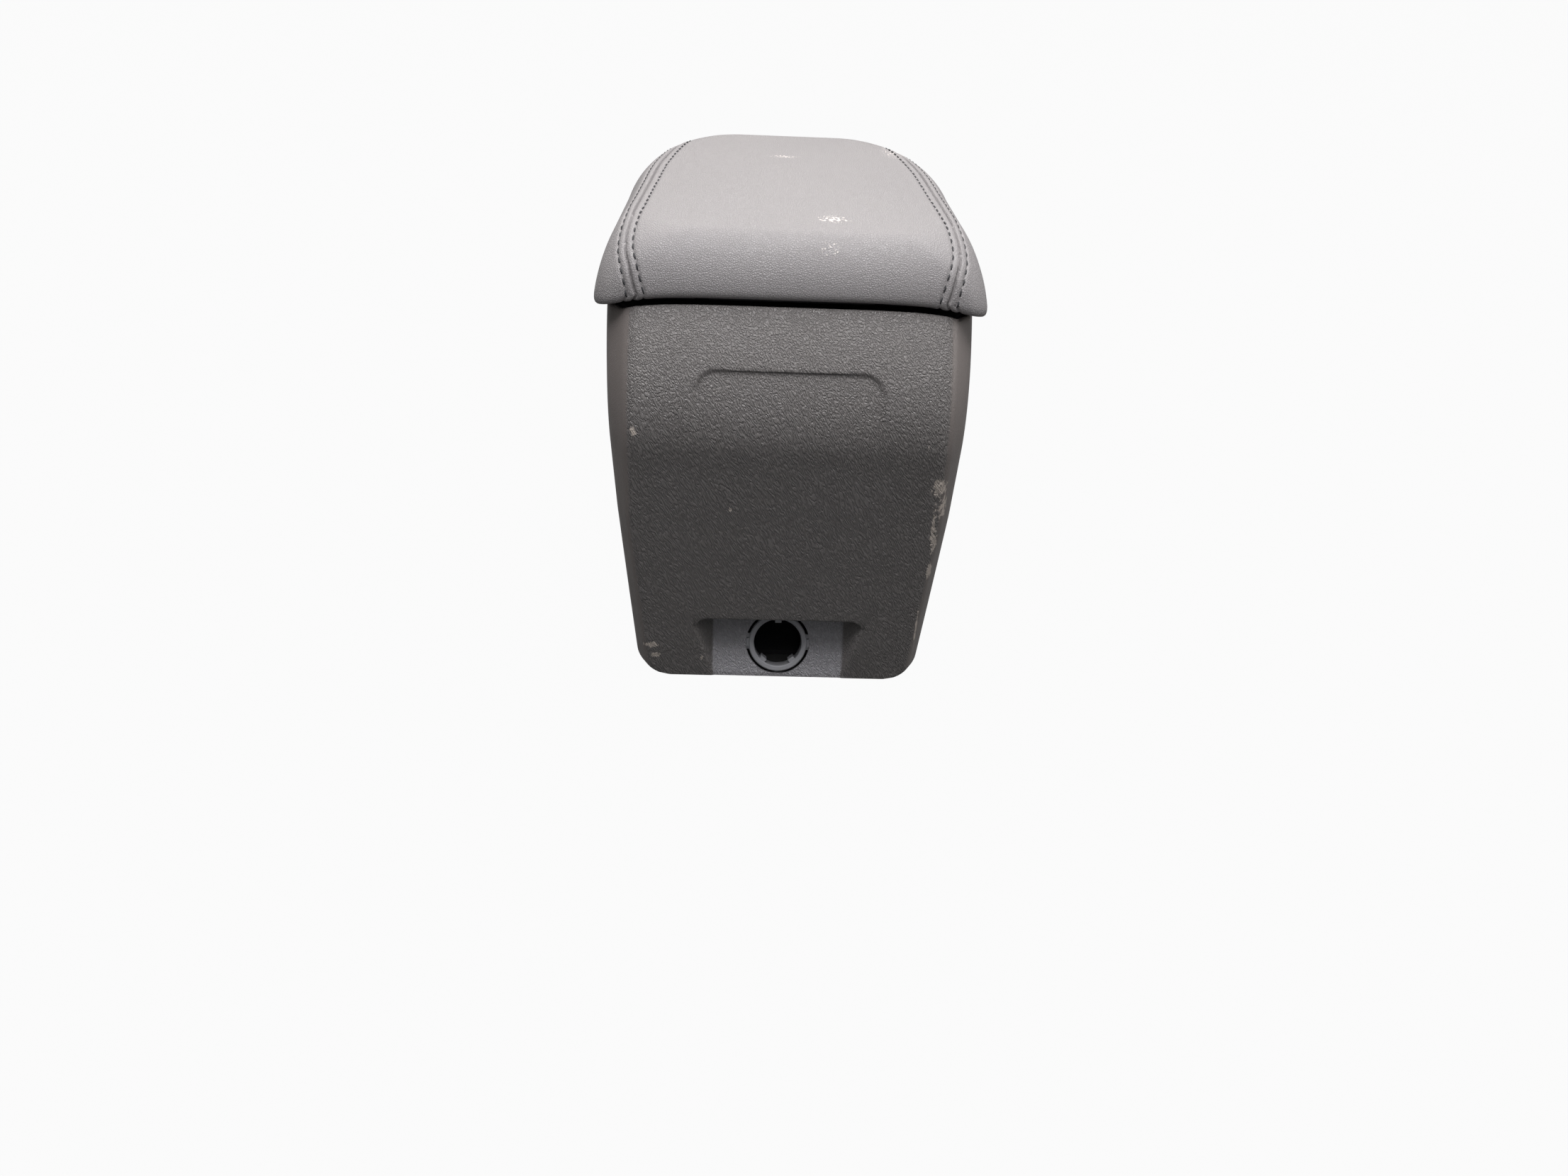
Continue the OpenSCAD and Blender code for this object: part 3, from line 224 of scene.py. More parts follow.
def cover_material():
    n = Nodes("cover_plastic_grained")
    lean = (0, math.radians(-25), 0)
    wavy = n.stretch((1.0, 1.0, 4.0), lean)
    folds = n.noise(980, 1.0, 0.4, wavy, 0.05)
    ridges = n.ramp(n.math("ABSOLUTE", n.math("SUBTRACT", folds, 0.5)), 0.0, 0.16)
    fine = n.noise(1900, 2.0, 0.6, n.stretch((1.0, 1.0, 1.8), lean))
    place = n.add("ShaderNodeSeparateXYZ")
    n.put(place, 0, n.pos)
    grows = n.math("ADD", n.math("MULTIPLY", place.outputs["Z"], GRAIN_GROWTH), GRAIN_EDGE * MM)
    edge = n.math("MINIMUM", grows, GRAIN_MOST * MM)
    inward = n.math("SUBTRACT", edge, n.math("ABSOLUTE", place.outputs["X"]))
    rear = n.math("MULTIPLY", n.ramp(inward, -0.5 * MM, 2.0 * MM),
                  n.ramp(place.outputs["Y"], -100 * MM, -96 * MM, 1, 0))
    relief = n.math("ADD", n.math("MULTIPLY", ridges, rear), n.math("MULTIPLY", fine, 0.45))
    spots = None
    for centre, size in COVER_WEAR:
        one = n.blob(centre, size)
        spots = one if spots is None else n.math("MAXIMUM", spots, one)
    streaks = n.noise(650, 4.0, 0.7, n.stretch((1.0, 1.0, 2.2), (0, math.radians(12), 0)))
    marks = n.math("ADD", streaks, n.math("MULTIPLY", spots, 0.5))
    worn = n.math("MULTIPLY", n.ramp(marks, 0.64, 0.74), n.ramp(spots, 0.02, 0.15))
    # Painted light: the niche's floor is tinted much lighter than the cover around it, standing in for light and
    # reflection that reach it under the overhang.
    deep = n.math("SUBTRACT", n.math("ADD", place.outputs["Y"], -NICHE_Y * MM),
                  n.math("MULTIPLY", place.outputs["Z"], 0.25))
    aside = n.math("MULTIPLY", n.ramp(n.math("ABSOLUTE", place.outputs["X"]), 36 * MM, 37.5 * MM, 1, 0),
                   n.ramp(place.outputs["Y"], -108 * MM, -105 * MM, 1, 0))
    inside = n.math("MULTIPLY", aside, n.ramp(place.outputs["Z"], 39 * MM, 40 * MM, 1, 0))
    niche = n.math("MULTIPLY", n.ramp(deep, 0.0, 0.5 * MM), inside)
    base = n.tint(n.noise(26, 3.0), srgb(118, 114, 112), srgb(124, 120, 119))
    # Painted shade: the rear face's grain is tinted darker along its low fold lines, standing in for shade between the
    # wrinkles.
    base = n.tint(n.math("MULTIPLY", rear, n.ramp(ridges, 0, 1, 0.25, 0.0)), base, srgb(76, 73, 72))
    base = n.tint(niche, base, srgb(158, 156, 160))
    base = n.tint(n.ramp(rear, 0, 1, 0.6, 0.0), base, srgb(120, 111, 107))
    color = n.tint(n.math("MULTIPLY", worn, 0.85), base, srgb(214, 202, 192))
    rough = n.ramp(n.noise(90, 3.0), 0.3, 0.7, 0.36, 0.43)
    return n.finish(color, rough, n.bump(relief, 0.00045, 0.9), specular=0.5)


def leather_material():
    n = Nodes("leather_satin")
    fine = n.cells(900)
    grain = n.math("ADD", n.ramp(fine, 0.0, 0.25), n.math("MULTIPLY", n.noise(2200, 2.0), 0.6))
    color = n.tint(n.noise(14, 3.0), srgb(139, 135, 136), srgb(143, 139, 139))
    # Painted shade: the leather's grain is tinted darker at its cell edges, where the bump sinks, standing in for shade
    # in the pits.
    color = n.tint(n.ramp(fine, 0.0, 0.12, 0.25, 0.0), color, srgb(70, 69, 70))
    dust = None
    for centre, size in LID_DUST:
        one = n.blob(centre, size)
        dust = one if dust is None else n.math("MAXIMUM", dust, one)
    flecks = n.math("ADD", n.noise(780, 4.0, 0.65), n.math("MULTIPLY", dust, 0.2))
    specks = n.math("MULTIPLY", n.ramp(flecks, 0.62, 0.71), n.ramp(dust, 0.02, 0.2, 0.0, 0.95))
    color = n.tint(specks, color, srgb(232, 222, 216))
    rough = n.ramp(n.noise(60, 3.0), 0.3, 0.7, 0.43, 0.47)
    return n.finish(color, rough, n.bump(grain, 0.00018, 0.7), specular=0.5, sheen=0.1)


def plain_material(name, a, b, rough, cell, depth, metallic=0.0):
    """A moulded, coated or metal finish: two close colours in patches, with a fine grain."""
    n = Nodes(name)
    color = n.tint(n.noise(35, 4.0, 0.6), srgb(*a), srgb(*b))
    relief = n.math("ADD", n.noise(cell, 3.0, 0.6), n.ramp(n.cells(cell * 0.6), 0, 0.3, 0, 0.6))
    roughness = n.ramp(n.noise(120, 3.0), 0.3, 0.7, rough - 0.06, rough + 0.06)
    return n.finish(color, roughness, n.bump(relief, depth, 0.5), metallic)


# Meshes from grids of points
def grid_faces(rows, cols, start=0):
    """Quads of a grid whose last column joins its first."""
    faces = []
    for i in range(rows - 1):
        low, high = start + i * cols, start + (i + 1) * cols
        for j in range(cols):
            k = (j + 1) % cols
            faces.append((low + j, low + k, high + k, high + j))
    return faces


def make_object(name, points, faces, material, scale=MM):
    mesh = bpy.data.meshes.new(name)
    mesh.from_pydata([tuple(p) for p in np.asarray(points, float) * scale], [], faces)
    mesh.validate()
    obj = bpy.data.objects.new(name, mesh)
    link(obj)
    if material is not None:
        mesh.materials.append(material)
    return obj


def apply_modifiers(obj):
    deps = bpy.context.evaluated_depsgraph_get()
    mesh = bpy.data.meshes.new_from_object(obj.evaluated_get(deps))
    obj.modifiers.clear()
    old = obj.data
    obj.data = mesh
    bpy.data.meshes.remove(old)


def soften(obj, angle=35):
    obj.data.shade_smooth()
    obj.data.set_sharp_from_angle(angle=math.radians(angle))


# Console cover
def foot_drop(z):
    return 0.0 if z >= FOOT_R else FOOT_R - math.sqrt(FOOT_R ** 2 - (FOOT_R - z) ** 2)


def cover_half_w(z):
    t = z / COVER_H
    return mix(FOOT_W, TOP_W, t) / 2 - foot_drop(z) + 4 * BULGE * t * (1 - t)


def rear_y(z):
    bend = part_of((z - BELLY_Z) / (COVER_H - BELLY_Z)) ** LEAN_POWER
    return BACK_Y + LEAN * bend + UNDERCUT * part_of((BELLY_Z - z) / BELLY_Z)


def side_x(y, z):
    return cover_half_w(z) - TAPER * part_of((y - BACK_Y - CORNER_BACK) / (TOP_D - CORNER_BACK))


def arch_drop(x):
    return ARCH * (abs(x) / (TOP_W / 2)) ** ARCH_POWER


FIXED_X = 54.0
REAR_COLS, EDGE_COLS, SIDE_COLS, ARC_COLS, FRONT_COLS = 54, 14, 34, 14, 10


def cover_half(z, t):
    """Half outline at a height, t inside the outer face: rear middle to front middle."""
    y0, y1, w = rear_y(z) + t, mix(FOOT_FRONT, TOP_FRONT, z / COVER_H) - t, cover_half_w(z) - t
    share = part_of((z - CORNER_Z) / (COVER_H - CORNER_Z))
    c_in, c_back = mix(LOW_IN, CORNER_IN, share), mix(LOW_BACK, CORNER_BACK, share)
    scale = 1 - 0.44 * t / c_in
    c1, c2 = np.array((w - c_in * scale, y0)), np.array((w, y0 + c_back * scale))
    step = c2 - c1
    length = np.linalg.norm(step)
    start = c1 - np.array((0.25 * length, 0))
    back = c2[1] + 0.4 * length
    r = FRONT_R - t
    w1 = side_x(y1 - r, z) - t
    pts = [np.array((FIXED_X * i / REAR_COLS, y0)) for i in range(REAR_COLS)]
    pts += [np.array((mix(FIXED_X, start[0], i / EDGE_COLS), y0)) for i in range(EDGE_COLS)]
    pts += bezier(start, c1, c1 + 0.25 * step, 7)
    pts += bezier(c2 - 0.4 * step, c2, (side_x(back, z) - t, back), 7)
    last = pts[-1]
    pts += [mix(last, np.array((w1, y1 - r)), i / SIDE_COLS) for i in range(1, SIDE_COLS)]
    pts += [np.array((w1 - r + r * math.cos(a), y1 - r + r * math.sin(a)))
            for a in np.linspace(0, math.pi / 2, ARC_COLS + 1)]
    corner = pts[-1]
    pts += [np.array((corner[0] * (1 - i / FRONT_COLS), y1)) for i in range(1, FRONT_COLS + 1)]
    return np.array(pts)


def ceiling_z(x):
    """Height of the niche's upper edge in a column of the rear face."""
    x = abs(x)
    flat = NICHE_W / 2 - NICHE_R
    if x <= flat:
        return NICHE_H
    edge = 46.37
    low = NICHE_H - NICHE_R + math.sqrt(NICHE_R ** 2 - (min(x, edge) - flat) ** 2)
    return low if x <= edge else mix(low, NICHE_H, part_of((x - edge) / 7.5))


def niche_depth_y(x, z):
    """The niche's floor and flared sides, as a y for each place; the rear face where there is no niche."""
    floor = NICHE_Y + z * math.tan(NICHE_TILT)
    flare = (NICHE_W - NICHE_FLOOR_W) / 2 / (NICHE_H * math.sin(NICHE_TILT))
    side = floor - (abs(x) - NICHE_FLOOR_W / 2) / flare / math.cos(NICHE_TILT)
    inner = smooth_min(floor, side, 1.6)
    return float(smooth_max(rear_y(z), inner, 1.4)) if abs(x) < 52 else rear_y(z)


def recess_depth(x, z):
    """Shallow arched recess: crisp at its top, fading downwards."""
    fall = part_of((z - (RECESS_TOP - RECESS_H)) / RECESS_H)
    q = np.array((abs(x) - (RECESS_W / 2 - RECESS_R), z - (RECESS_TOP - RECESS_R)))
    dist = np.linalg.norm(np.maximum(q, 0)) + min(max(q[0], q[1]), 0) - RECESS_R
    width = mix(1.8, 2.6, part_of((q[0] + 8) / 12))
    inside = part_of(0.5 - dist / width)
    return RECESS_D * fall * inside * inside * (3 - 2 * inside)


LOWER, CEILING, ROUND, RIM_ROWS = 36, 5, 4, 3
NICHE_ROUND, RIM_ROUND = 1.3, 0.8
UPPER_Z = np.concatenate([np.linspace(41.5, 174, 60), np.linspace(174.8, 186, 15),
                          np.linspace(188, COVER_H - RIM_ROUND, 13)])


def cover_rows():
    """Points of the outer face: every column runs up the outside and through the niche."""
    cols = len(cover_half(50, 0))
    outlines = {}

    def outline(z, t=0.0):
        key = (round(z, 6), t)
        if key not in outlines:
            outlines[key] = cover_half(z, t)
        return outlines[key]

    rows = LOWER + 1 + CEILING + ROUND + len(UPPER_Z) + RIM_ROWS
    grid = np.zeros((rows, cols, 3))
    for j in range(cols):
        x = FIXED_X * j / REAR_COLS
        rear = j < REAR_COLS
        top = ceiling_z(x) if rear else NICHE_H
        i = 0
        for k in range(LOWER + 1):
            z = top * (k / LOWER)
            if rear:
                p = (x, niche_depth_y(x, z), z)
            else:
                p = (*outline(z)[j], z)
            grid[i, j] = p
            i += 1
        if rear:
            deep, face = grid[i - 1, j, 1], rear_y(top)
            step = max(0.0, deep - face)
            r = min(NICHE_ROUND, 0.4 * step + 1e-3)
            for k in range(1, CEILING + 1):
                grid[i, j] = (x, mix(deep, face + r, k / CEILING), top + 1e-4 * k)
                i += 1
            for k in range(1, ROUND + 1):
                a = math.pi / 2 * k / ROUND
                grid[i, j] = (x, face + r - r * math.sin(a), top + r - r * math.cos(a))
                i += 1
        else:
            for k in range(1, CEILING + ROUND + 1):
                z = top + NICHE_ROUND * k / (CEILING + ROUND)
                grid[i, j] = (*outline(z)[j], z)
                i += 1
        for z in UPPER_Z:
            p = outline(z)[j]
            sunk = recess_depth(p[0], z) if rear else 0.0
            grid[i, j] = (p[0], p[1] + sunk, z - arch_drop(p[0]) * (z / COVER_H) ** 3)
            i += 1
        for k in range(1, RIM_ROWS + 1):
            a = math.pi / 2 * k / RIM_ROWS
            z, t = COVER_H - RIM_ROUND * (1 - math.sin(a)), RIM_ROUND * (1 - math.cos(a))
            p = outline(z, t)[j]
            grid[i, j] = (p[0], p[1], z - arch_drop(p[0]) * (z / COVER_H) ** 3)
            i += 1
    return grid


def floor_frame(p):
    """Place on the niche's floor: sideways, up the floor, and off it."""
    y, z = p[1] - NICHE_Y * MM, p[2]
    c, s = math.cos(NICHE_TILT), math.sin(NICHE_TILT)
    return p[0], y * s + z * c, y * c - z * s


def lip_reach(x):
    turn = max(0.0, abs(x) - (LID_REAR_W / 2 - LID_REAR_R))
    back = LID_REAR_R - math.sqrt(max(0.0, LID_REAR_R ** 2 - turn ** 2))
    return math.hypot(HINGE_IN - back, HINGE_UP + arch_drop(x)) + SWEEP_GAP


def cut_socket_hole(bm):
    """Opens the round hole in the niche's floor and rounds its edge."""
    radius, up = HOLE_D / 2 * MM, SOCKET_UP * MM
    gone = []
    for f in bm.faces:
        x, s, off = floor_frame(f.calc_center_median())
        if abs(off) < 1.5 * MM and math.hypot(x, s - up) < radius:
            gone.append(f)
    bmesh.ops.delete(bm, geom=gone, context="FACES")
    for v in bm.verts:
        x, s, off = floor_frame(v.co)
        away = math.hypot(x, s - up)
        if v.is_boundary and v.co.z > 0.3 * MM and abs(off) < 2 * MM and away < radius + 2 * MM:
            k = radius / away
            x2, s2 = x * k, up + (s - up) * k
            v.co = (x2, NICHE_Y * MM + s2 * math.sin(NICHE_TILT), s2 * math.cos(NICHE_TILT))


def bar(points, faces, ring_a, ring_b):
    """Adds a closed prism between two rings of points."""
    k, n = len(points), len(ring_a)
    points += list(ring_a) + list(ring_b)
    faces += [tuple(range(k + n - 1, k - 1, -1)), tuple(range(k + n, k + 2 * n))]
    faces += [(k + j, k + (j + 1) % n, k + n + (j + 1) % n, k + n + j) for j in range(n)]


FLANGE_DROP, FLANGE_T, POST_R = 6.5, 2.2, 4.5


def cover_posts():
    """Bosses inside the cover that take the bin's and the base plate's screws."""
    points, faces = [], []
    flange_low = COVER_H - FLANGE_DROP - FLANGE_T
    jobs = [(y, side_x(y, COVER_H - FLANGE_DROP) - WALL - 5.0, flange_low - 34, flange_low)
            for y in (LID_REAR + 74, LID_FRONT - 84)]
    jobs += [(y, side_x(y, 0) - WALL - 1 - POST_R, 3.0, 24.0) for y in (BACK_Y + 62, LID_FRONT - 90)]
    for y, x, z0, z1 in jobs:
        low = max(z0, FOOT_R)
        for s in (-1, 1):
            rings = [[(s * x + POST_R * math.cos(a), y + POST_R * math.sin(a), z)
                      for a in np.linspace(0, 2 * math.pi, 25)[:-1]] for z in (z0, z1)]
            bar(points, faces, *rings)
            web = [(s * x, z0), (s * x, z1), (s * (side_x(y, z1) - 1.4), z1),
                   (s * (side_x(y, low) - 1.4), low), (s * (x + 3), z0)]
            bar(points, faces, [(p[0], y - 1, p[1]) for p in web], [(p[0], y + 1, p[1]) for p in web])
    return points, faces


def build_cover(material):
    half = cover_rows()
    other = half[:, -2:0:-1].copy()
    other[:, :, 0] *= -1
    grid = np.concatenate([half, other], axis=1)
    rows, cols = grid.shape[:2]
    obj = make_object("console_cover_skin", grid.reshape(-1, 3), grid_faces(rows, cols), material)
    bm = bmesh.new()
    bm.from_mesh(obj.data)
    bmesh.ops.remove_doubles(bm, verts=bm.verts, dist=0.02 * MM)
    cut_socket_hole(bm)
    bm.to_mesh(obj.data)
    bm.free()
    solid = obj.modifiers.new("wall", "SOLIDIFY")
    solid.thickness = WALL * MM
    solid.offset = -1
    solid.use_even_offset = False
    apply_modifiers(obj)
    for v in obj.data.vertices:
        v.co.z = max(0.0, v.co.z)
        x, y, z = v.co / MM
        if z < 150 or y > AXIS_Y + 25:
            continue
        reach, away = lip_reach(x), math.hypot(y - AXIS_Y, z - AXIS_Z)
        if away < reach:
            v.co = Vector((x, AXIS_Y + (y - AXIS_Y) * reach / away, AXIS_Z + (z - AXIS_Z) * reach / away)) * MM
    points, faces = cover_posts()
    posts = make_object("posts", points, faces, material)
    bm = bmesh.new()
    bm.from_mesh(obj.data)
    bm.from_mesh(posts.data)
    bmesh.ops.recalc_face_normals(bm, faces=bm.faces)
    bm.to_mesh(obj.data)
    bm.free()
    bpy.data.objects.remove(posts)
    soften(obj, 40)
    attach(obj, "root")
    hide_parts("console_cover")


# Lid
N_REAR, N_CORNER, N_SIDE, N_FRONT = 44, 22, 40, 56


def plan_half(wr, wf, y0, y1, rr, rx, ry):
    side0, side1 = mix(wr, wf, rr / (y1 - y0)), mix(wr, wf, (y1 - ry - y0) / (y1 - y0))
    pts = [((side0 - rr) * i / N_REAR, y0) for i in range(N_REAR)]
    pts += [(side0 - rr + rr * math.sin(a), y0 + rr - rr * math.cos(a))
            for a in np.linspace(0, math.pi / 2, N_CORNER + 1)]
    a0, a1 = np.array((side0, y0 + rr)), np.array((side1, y1 - ry))
    pts += [mix(a0, a1, i / N_SIDE) for i in range(1, N_SIDE)]
    pts += [(side1 - rx + rx * math.cos(a), y1 - ry + ry * math.sin(a))
            for a in np.linspace(0, math.pi / 2, N_FRONT + 1)]
    return np.array([tuple(p) for p in pts])


def full_loop(half):
    other = half[-2:0:-1].copy()
    other[:, 0] *= -1
    return np.concatenate([half, other])


def rim_loop(t):
    return full_loop(plan_half(LID_REAR_W / 2 - t, LID_FRONT_W / 2 - t, LID_REAR + t, LID_FRONT - t,
                               LID_REAR_R - t, LID_RX - t, LID_RY - t))


CREST = full_loop(plan_half(LID_REAR_W / 2 - SIDE_IN, LID_FRONT_W / 2 - SIDE_IN, LID_REAR + REAR_IN,
                            LID_FRONT - FRONT_IN, CREST_R, CREST_RX, CREST_RY))
LID_MID = np.array((0.0, (LID_REAR + REAR_IN + LID_FRONT - FRONT_IN) / 2))


def rim_at(x):
    return RIM_Z - ARCH * (np.abs(x) / (TOP_W / 2)) ** ARCH_POWER


def crest_at(y):
    return RIM_Z + LID_H + LID_RISE * (y - LID_REAR) / (LID_FRONT - LID_REAR)


def roll_ring(a, ts, tt, lift):
    p = mix(rim_loop(ts), CREST, (1 - math.cos(a)) ** ROLL)
    z = mix(rim_at(p[:, 0]) + lift, crest_at(p[:, 1]) - tt, math.sin(a))
    return np.column_stack([p, z])


def top_ring(k, tt):
    p = mix(LID_MID, CREST, k)
    return np.column_stack([p, crest_at(p[:, 1]) - tt + CROWN * (1 - k * k)])


def flat_ring(t, lift):
    p = rim_loop(t)
    return np.column_stack([p, rim_at(p[:, 0]) + lift])


def dome(first_angle, ts, tt, lift, rolls, tops):
    rings = [roll_ring(a, ts, tt, lift) for a in np.linspace(first_angle, math.pi / 2, rolls + 1)]
    return rings + [top_ring(k, tt) for k in np.linspace(1, 0.04, tops + 1)[1:]]


def seam_x(y):
    """Half width of the seam line at a place along the lid."""
    return np.interp(y, SEAM_Y, SEAM_X)


def smooth_line(points, n):
    """A Catmull-Rom curve through points."""
    p = np.array([points[0]] + list(points) + [points[-1]], float)
    out = []
    for i in range(1, len(p) - 2):
        for t in np.linspace(0, 1, n, endpoint=False):
            a, b, c, d = p[i - 1], p[i], p[i + 1], p[i + 2]
            square, cube = 2 * a - 5 * b + 4 * c - d, 3 * b - a - 3 * c + d
            out.append(0.5 * (2 * b + (c - a) * t + square * t * t + cube * t ** 3))
    out.append(p[-2])
    return np.array(out)


SEAM = smooth_line([(75.6, -106.5), (76.5, -104.4), (78.2, -103.2), (80.4, -99.6), (82.8, -92.5), (83.3, -85),
                    (82.2, -72), (78.9, -42), (76.2, -12), (73.6, 18), (71.0, 36), (66.0, 62), (59.5, 88),
                    (53.0, 112), (45.5, 136)], 8)
SEAM_X, SEAM_Y = SEAM[:, 0], SEAM[:, 1]


def lid_surface():
    """Outer face of the leather before its seams are sunk: points and quads."""
    rings = [flat_ring(TURN_IN, 0.0), flat_ring((TURN_IN + 3.2) / 2, 0.0)]
    first = math.radians(7)
    low, high = flat_ring(3.2, 0.0), roll_ring(first, 0, 0, 0)
    corner = flat_ring(0.0, 0.0)
    for i in range(6):
        t = i / 6
        rings.append(mix(mix(low, corner, t), mix(corner, high, t), t))
    rolls = 34
    rings += dome(first, 0, 0, 0, rolls, 30)
    grid = np.array(rings)
    crest = 8 + rolls
    for _ in range(14):
        seg = slice(crest - 5, crest + 4)
        grid[seg] = (grid[crest - 6:crest + 3] + 2 * grid[seg] + grid[crest - 4:crest + 5]) / 4
    rows, cols = grid.shape[:2]
    points = list(grid.reshape(-1, 3)) + [grid[-1].mean(axis=0)]
    faces = grid_faces(rows, cols)
    last = (rows - 1) * cols
    faces += [(last + j, last + (j + 1) % cols, len(points) - 1) for j in range(cols)]
    return points, faces


def segment_distance(p, a, b):
    """Least distance from each point to a chain of segments."""
    ab = b - a
    length = (ab * ab).sum(-1)
    out = []
    for k in range(0, len(p), 2000):
        q = p[k:k + 2000, None]
        t = np.clip(((q - a) * ab).sum(-1) / length, 0, 1)
        out.append(np.linalg.norm(q - (a + t[..., None] * ab), axis=-1).min(axis=1))
    return np.concatenate(out)


def beside_seam(co):
    """How far a point lies outside the seam line, in millimetres."""
    return abs(co.x) / MM - float(seam_x(co.y / MM))


def part_panels(bm):
    """Splits the faces along both seams and numbers the panels by material index: centre, left, right."""
    gap = {}
    for v in bm.verts:
        gap[v] = beside_seam(v.co)
        if abs(gap[v]) < 0.3:
            v.co.x = math.copysign(float(seam_x(v.co.y / MM)) * MM, v.co.x)
            gap[v] = 0.0
    for e in list(bm.edges):
        a, b = e.verts
        if gap[a] * gap[b] < 0:
            _, new = bmesh.utils.edge_split(e, a, gap[a] / (gap[a] - gap[b]))
            gap[new] = 0.0
    for f in list(bm.faces):
        on = [v for v in f.verts if gap[v] == 0.0]
        if len(on) == 2 and min(gap[v] for v in f.verts) < 0 < max(gap[v] for v in f.verts):
            bmesh.utils.face_split(f, on[0], on[1])
    for f in bm.faces:
        out = sum(gap[v] for v in f.verts) > 0
        f.material_index = 0 if not out else (1 if f.calc_center_median().x < 0 else 2)
    chains = []
    for side in (-1, 1):
        seam = {v for v in bm.verts if gap[v] == 0.0 and v.co.x * side > 0}
        ends = [v for v in seam if v.is_boundary]
        v = min(ends, key=lambda w: w.co.y)
        chain, seen = [v], {v}
        while True:
            near = [e.other_vert(v) for e in v.link_edges
                    if e.other_vert(v) in seam and e.other_vert(v) not in seen
                    and len({f.material_index for f in e.link_faces}) > 1]
            if not near:
                break
            v = near[0]
            seen.add(v)
            chain.append(v)
        chains.append((np.array([w.co for w in chain]), np.array([w.normal for w in chain])))
    return chains


def along_row(chain, side, offset, pitch):
    """Points at an even pitch on a line beside a seam, clear of the lid's lower edge."""
    pts, nor = chain
    along = np.gradient(pts, axis=0)
    along /= np.linalg.norm(along, axis=1)[:, None] + 1e-12
    pts = pts + np.cross(along, nor) * side * offset * MM
    high = pts[:, 2] / MM - rim_at(pts[:, 0] / MM) > 1.8
    pts = pts[high]
    for _ in range(3):
        pts[1:-1] = (pts[:-2] + 2 * pts[1:-1] + pts[2:]) / 4
    dist = np.concatenate([[0], np.cumsum(np.linalg.norm(np.diff(pts, axis=0), axis=1))])
    at = np.arange(0.4 * MM, dist[-1] - 0.4 * MM, pitch * MM)
    return np.column_stack([np.interp(at, dist, pts[:, k]) for k in range(3)])


STITCH_OUT, STITCH_PITCH, THREAD_R = 4.1, 5.9, 0.5
SEAM_SINK, SEAM_HALF, ROW_SINK, ROW_HALF = 1.6, 0.55, 0.5, 0.65


def sew(obj):
    """Parts the panels and sinks the seams and stitch rows, after refining the mesh beside them."""
    bm = bmesh.new()
    bm.from_mesh(obj.data)
    bmesh.ops.recalc_face_normals(bm, faces=bm.faces)
    bm.normal_update()
    chains = part_panels(bm)
    bm.normal_update()

    def distances(co):
        best = np.full(len(co), 1.0)
        near = np.abs(np.abs(co[:, 0]) / MM - seam_x(co[:, 1] / MM)) < 30
        for side, (pts, _) in zip((-1, 1), chains):
            here = near & (co[:, 0] * side > 0)
            best[here] = np.minimum(best[here], segment_distance(co[here], pts[:-1], pts[1:]))
        return best

    for reach in (9.0, 6.2, 2.0):
        co = np.array([v.co for v in bm.verts])
        d = distances(co)
        bm.verts.index_update()
        edges = [e for e in bm.edges if max(d[v.index] for v in e.verts) < reach * MM]
        bmesh.ops.subdivide_edges(bm, edges=edges, cuts=1, use_grid_fill=True)
    bmesh.ops.triangulate(bm, faces=[f for f in bm.faces if len(f.verts) > 4])
    bm.normal_update()
    co = np.array([v.co for v in bm.verts])
    d = distances(co) / MM
    bm.verts.index_update()
    depth = (-SEAM_SINK * np.exp(-(d / SEAM_HALF) ** 2) + 0.25 * np.exp(-((d - 2.1) / 1.3) ** 2)
             - ROW_SINK * np.exp(-((d - STITCH_OUT) / ROW_HALF) ** 2) + 0.1 * np.exp(-((d - 6.2) / 1.6) ** 2))
    for v in bm.verts:
        p = v.co / MM
        calm = part_of((p.z - RIM_Z - 2) / 8)
        wave = 0.1 * calm * noise.noise(Vector((p.x, p.y, p.z)) / 55.0)
        v.co += v.normal * (depth[v.index] + wave) * MM
    return bm, chains


def build_leather(material):
    points, faces = lid_surface()
    whole = make_object("leather", points, faces, None)
    bm, chains = sew(whole)
    bpy.data.objects.remove(whole)
    whole_mesh = bpy.data.meshes.new("whole")
    bm.to_mesh(whole_mesh)
    bm.free()
    for index, name in enumerate(("centre", "left", "right")):
        part = bmesh.new()
        part.from_mesh(whole_mesh)
        bmesh.ops.delete(part, geom=[f for f in part.faces if f.material_index != index], context="FACES")
        for f in part.faces:
            f.material_index = 0
        mesh = bpy.data.meshes.new("lid_leather_" + name)
        part.to_mesh(mesh)
        part.free()
        mesh.materials.append(material)
        obj = bpy.data.objects.new("lid_leather_" + name, mesh)
        link(obj)
        solid = obj.modifiers.new("thickness", "SOLIDIFY")
        solid.thickness = (SKIN_T - 0.25) * MM
        solid.offset = -1
        apply_modifiers(obj)
        obj.data.shade_smooth()
        obj.data.set_sharp_from_angle(angle=math.radians(60))
        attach(obj, "lid")
        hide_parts("lid_cover_" + name)
    return whole_mesh, chains


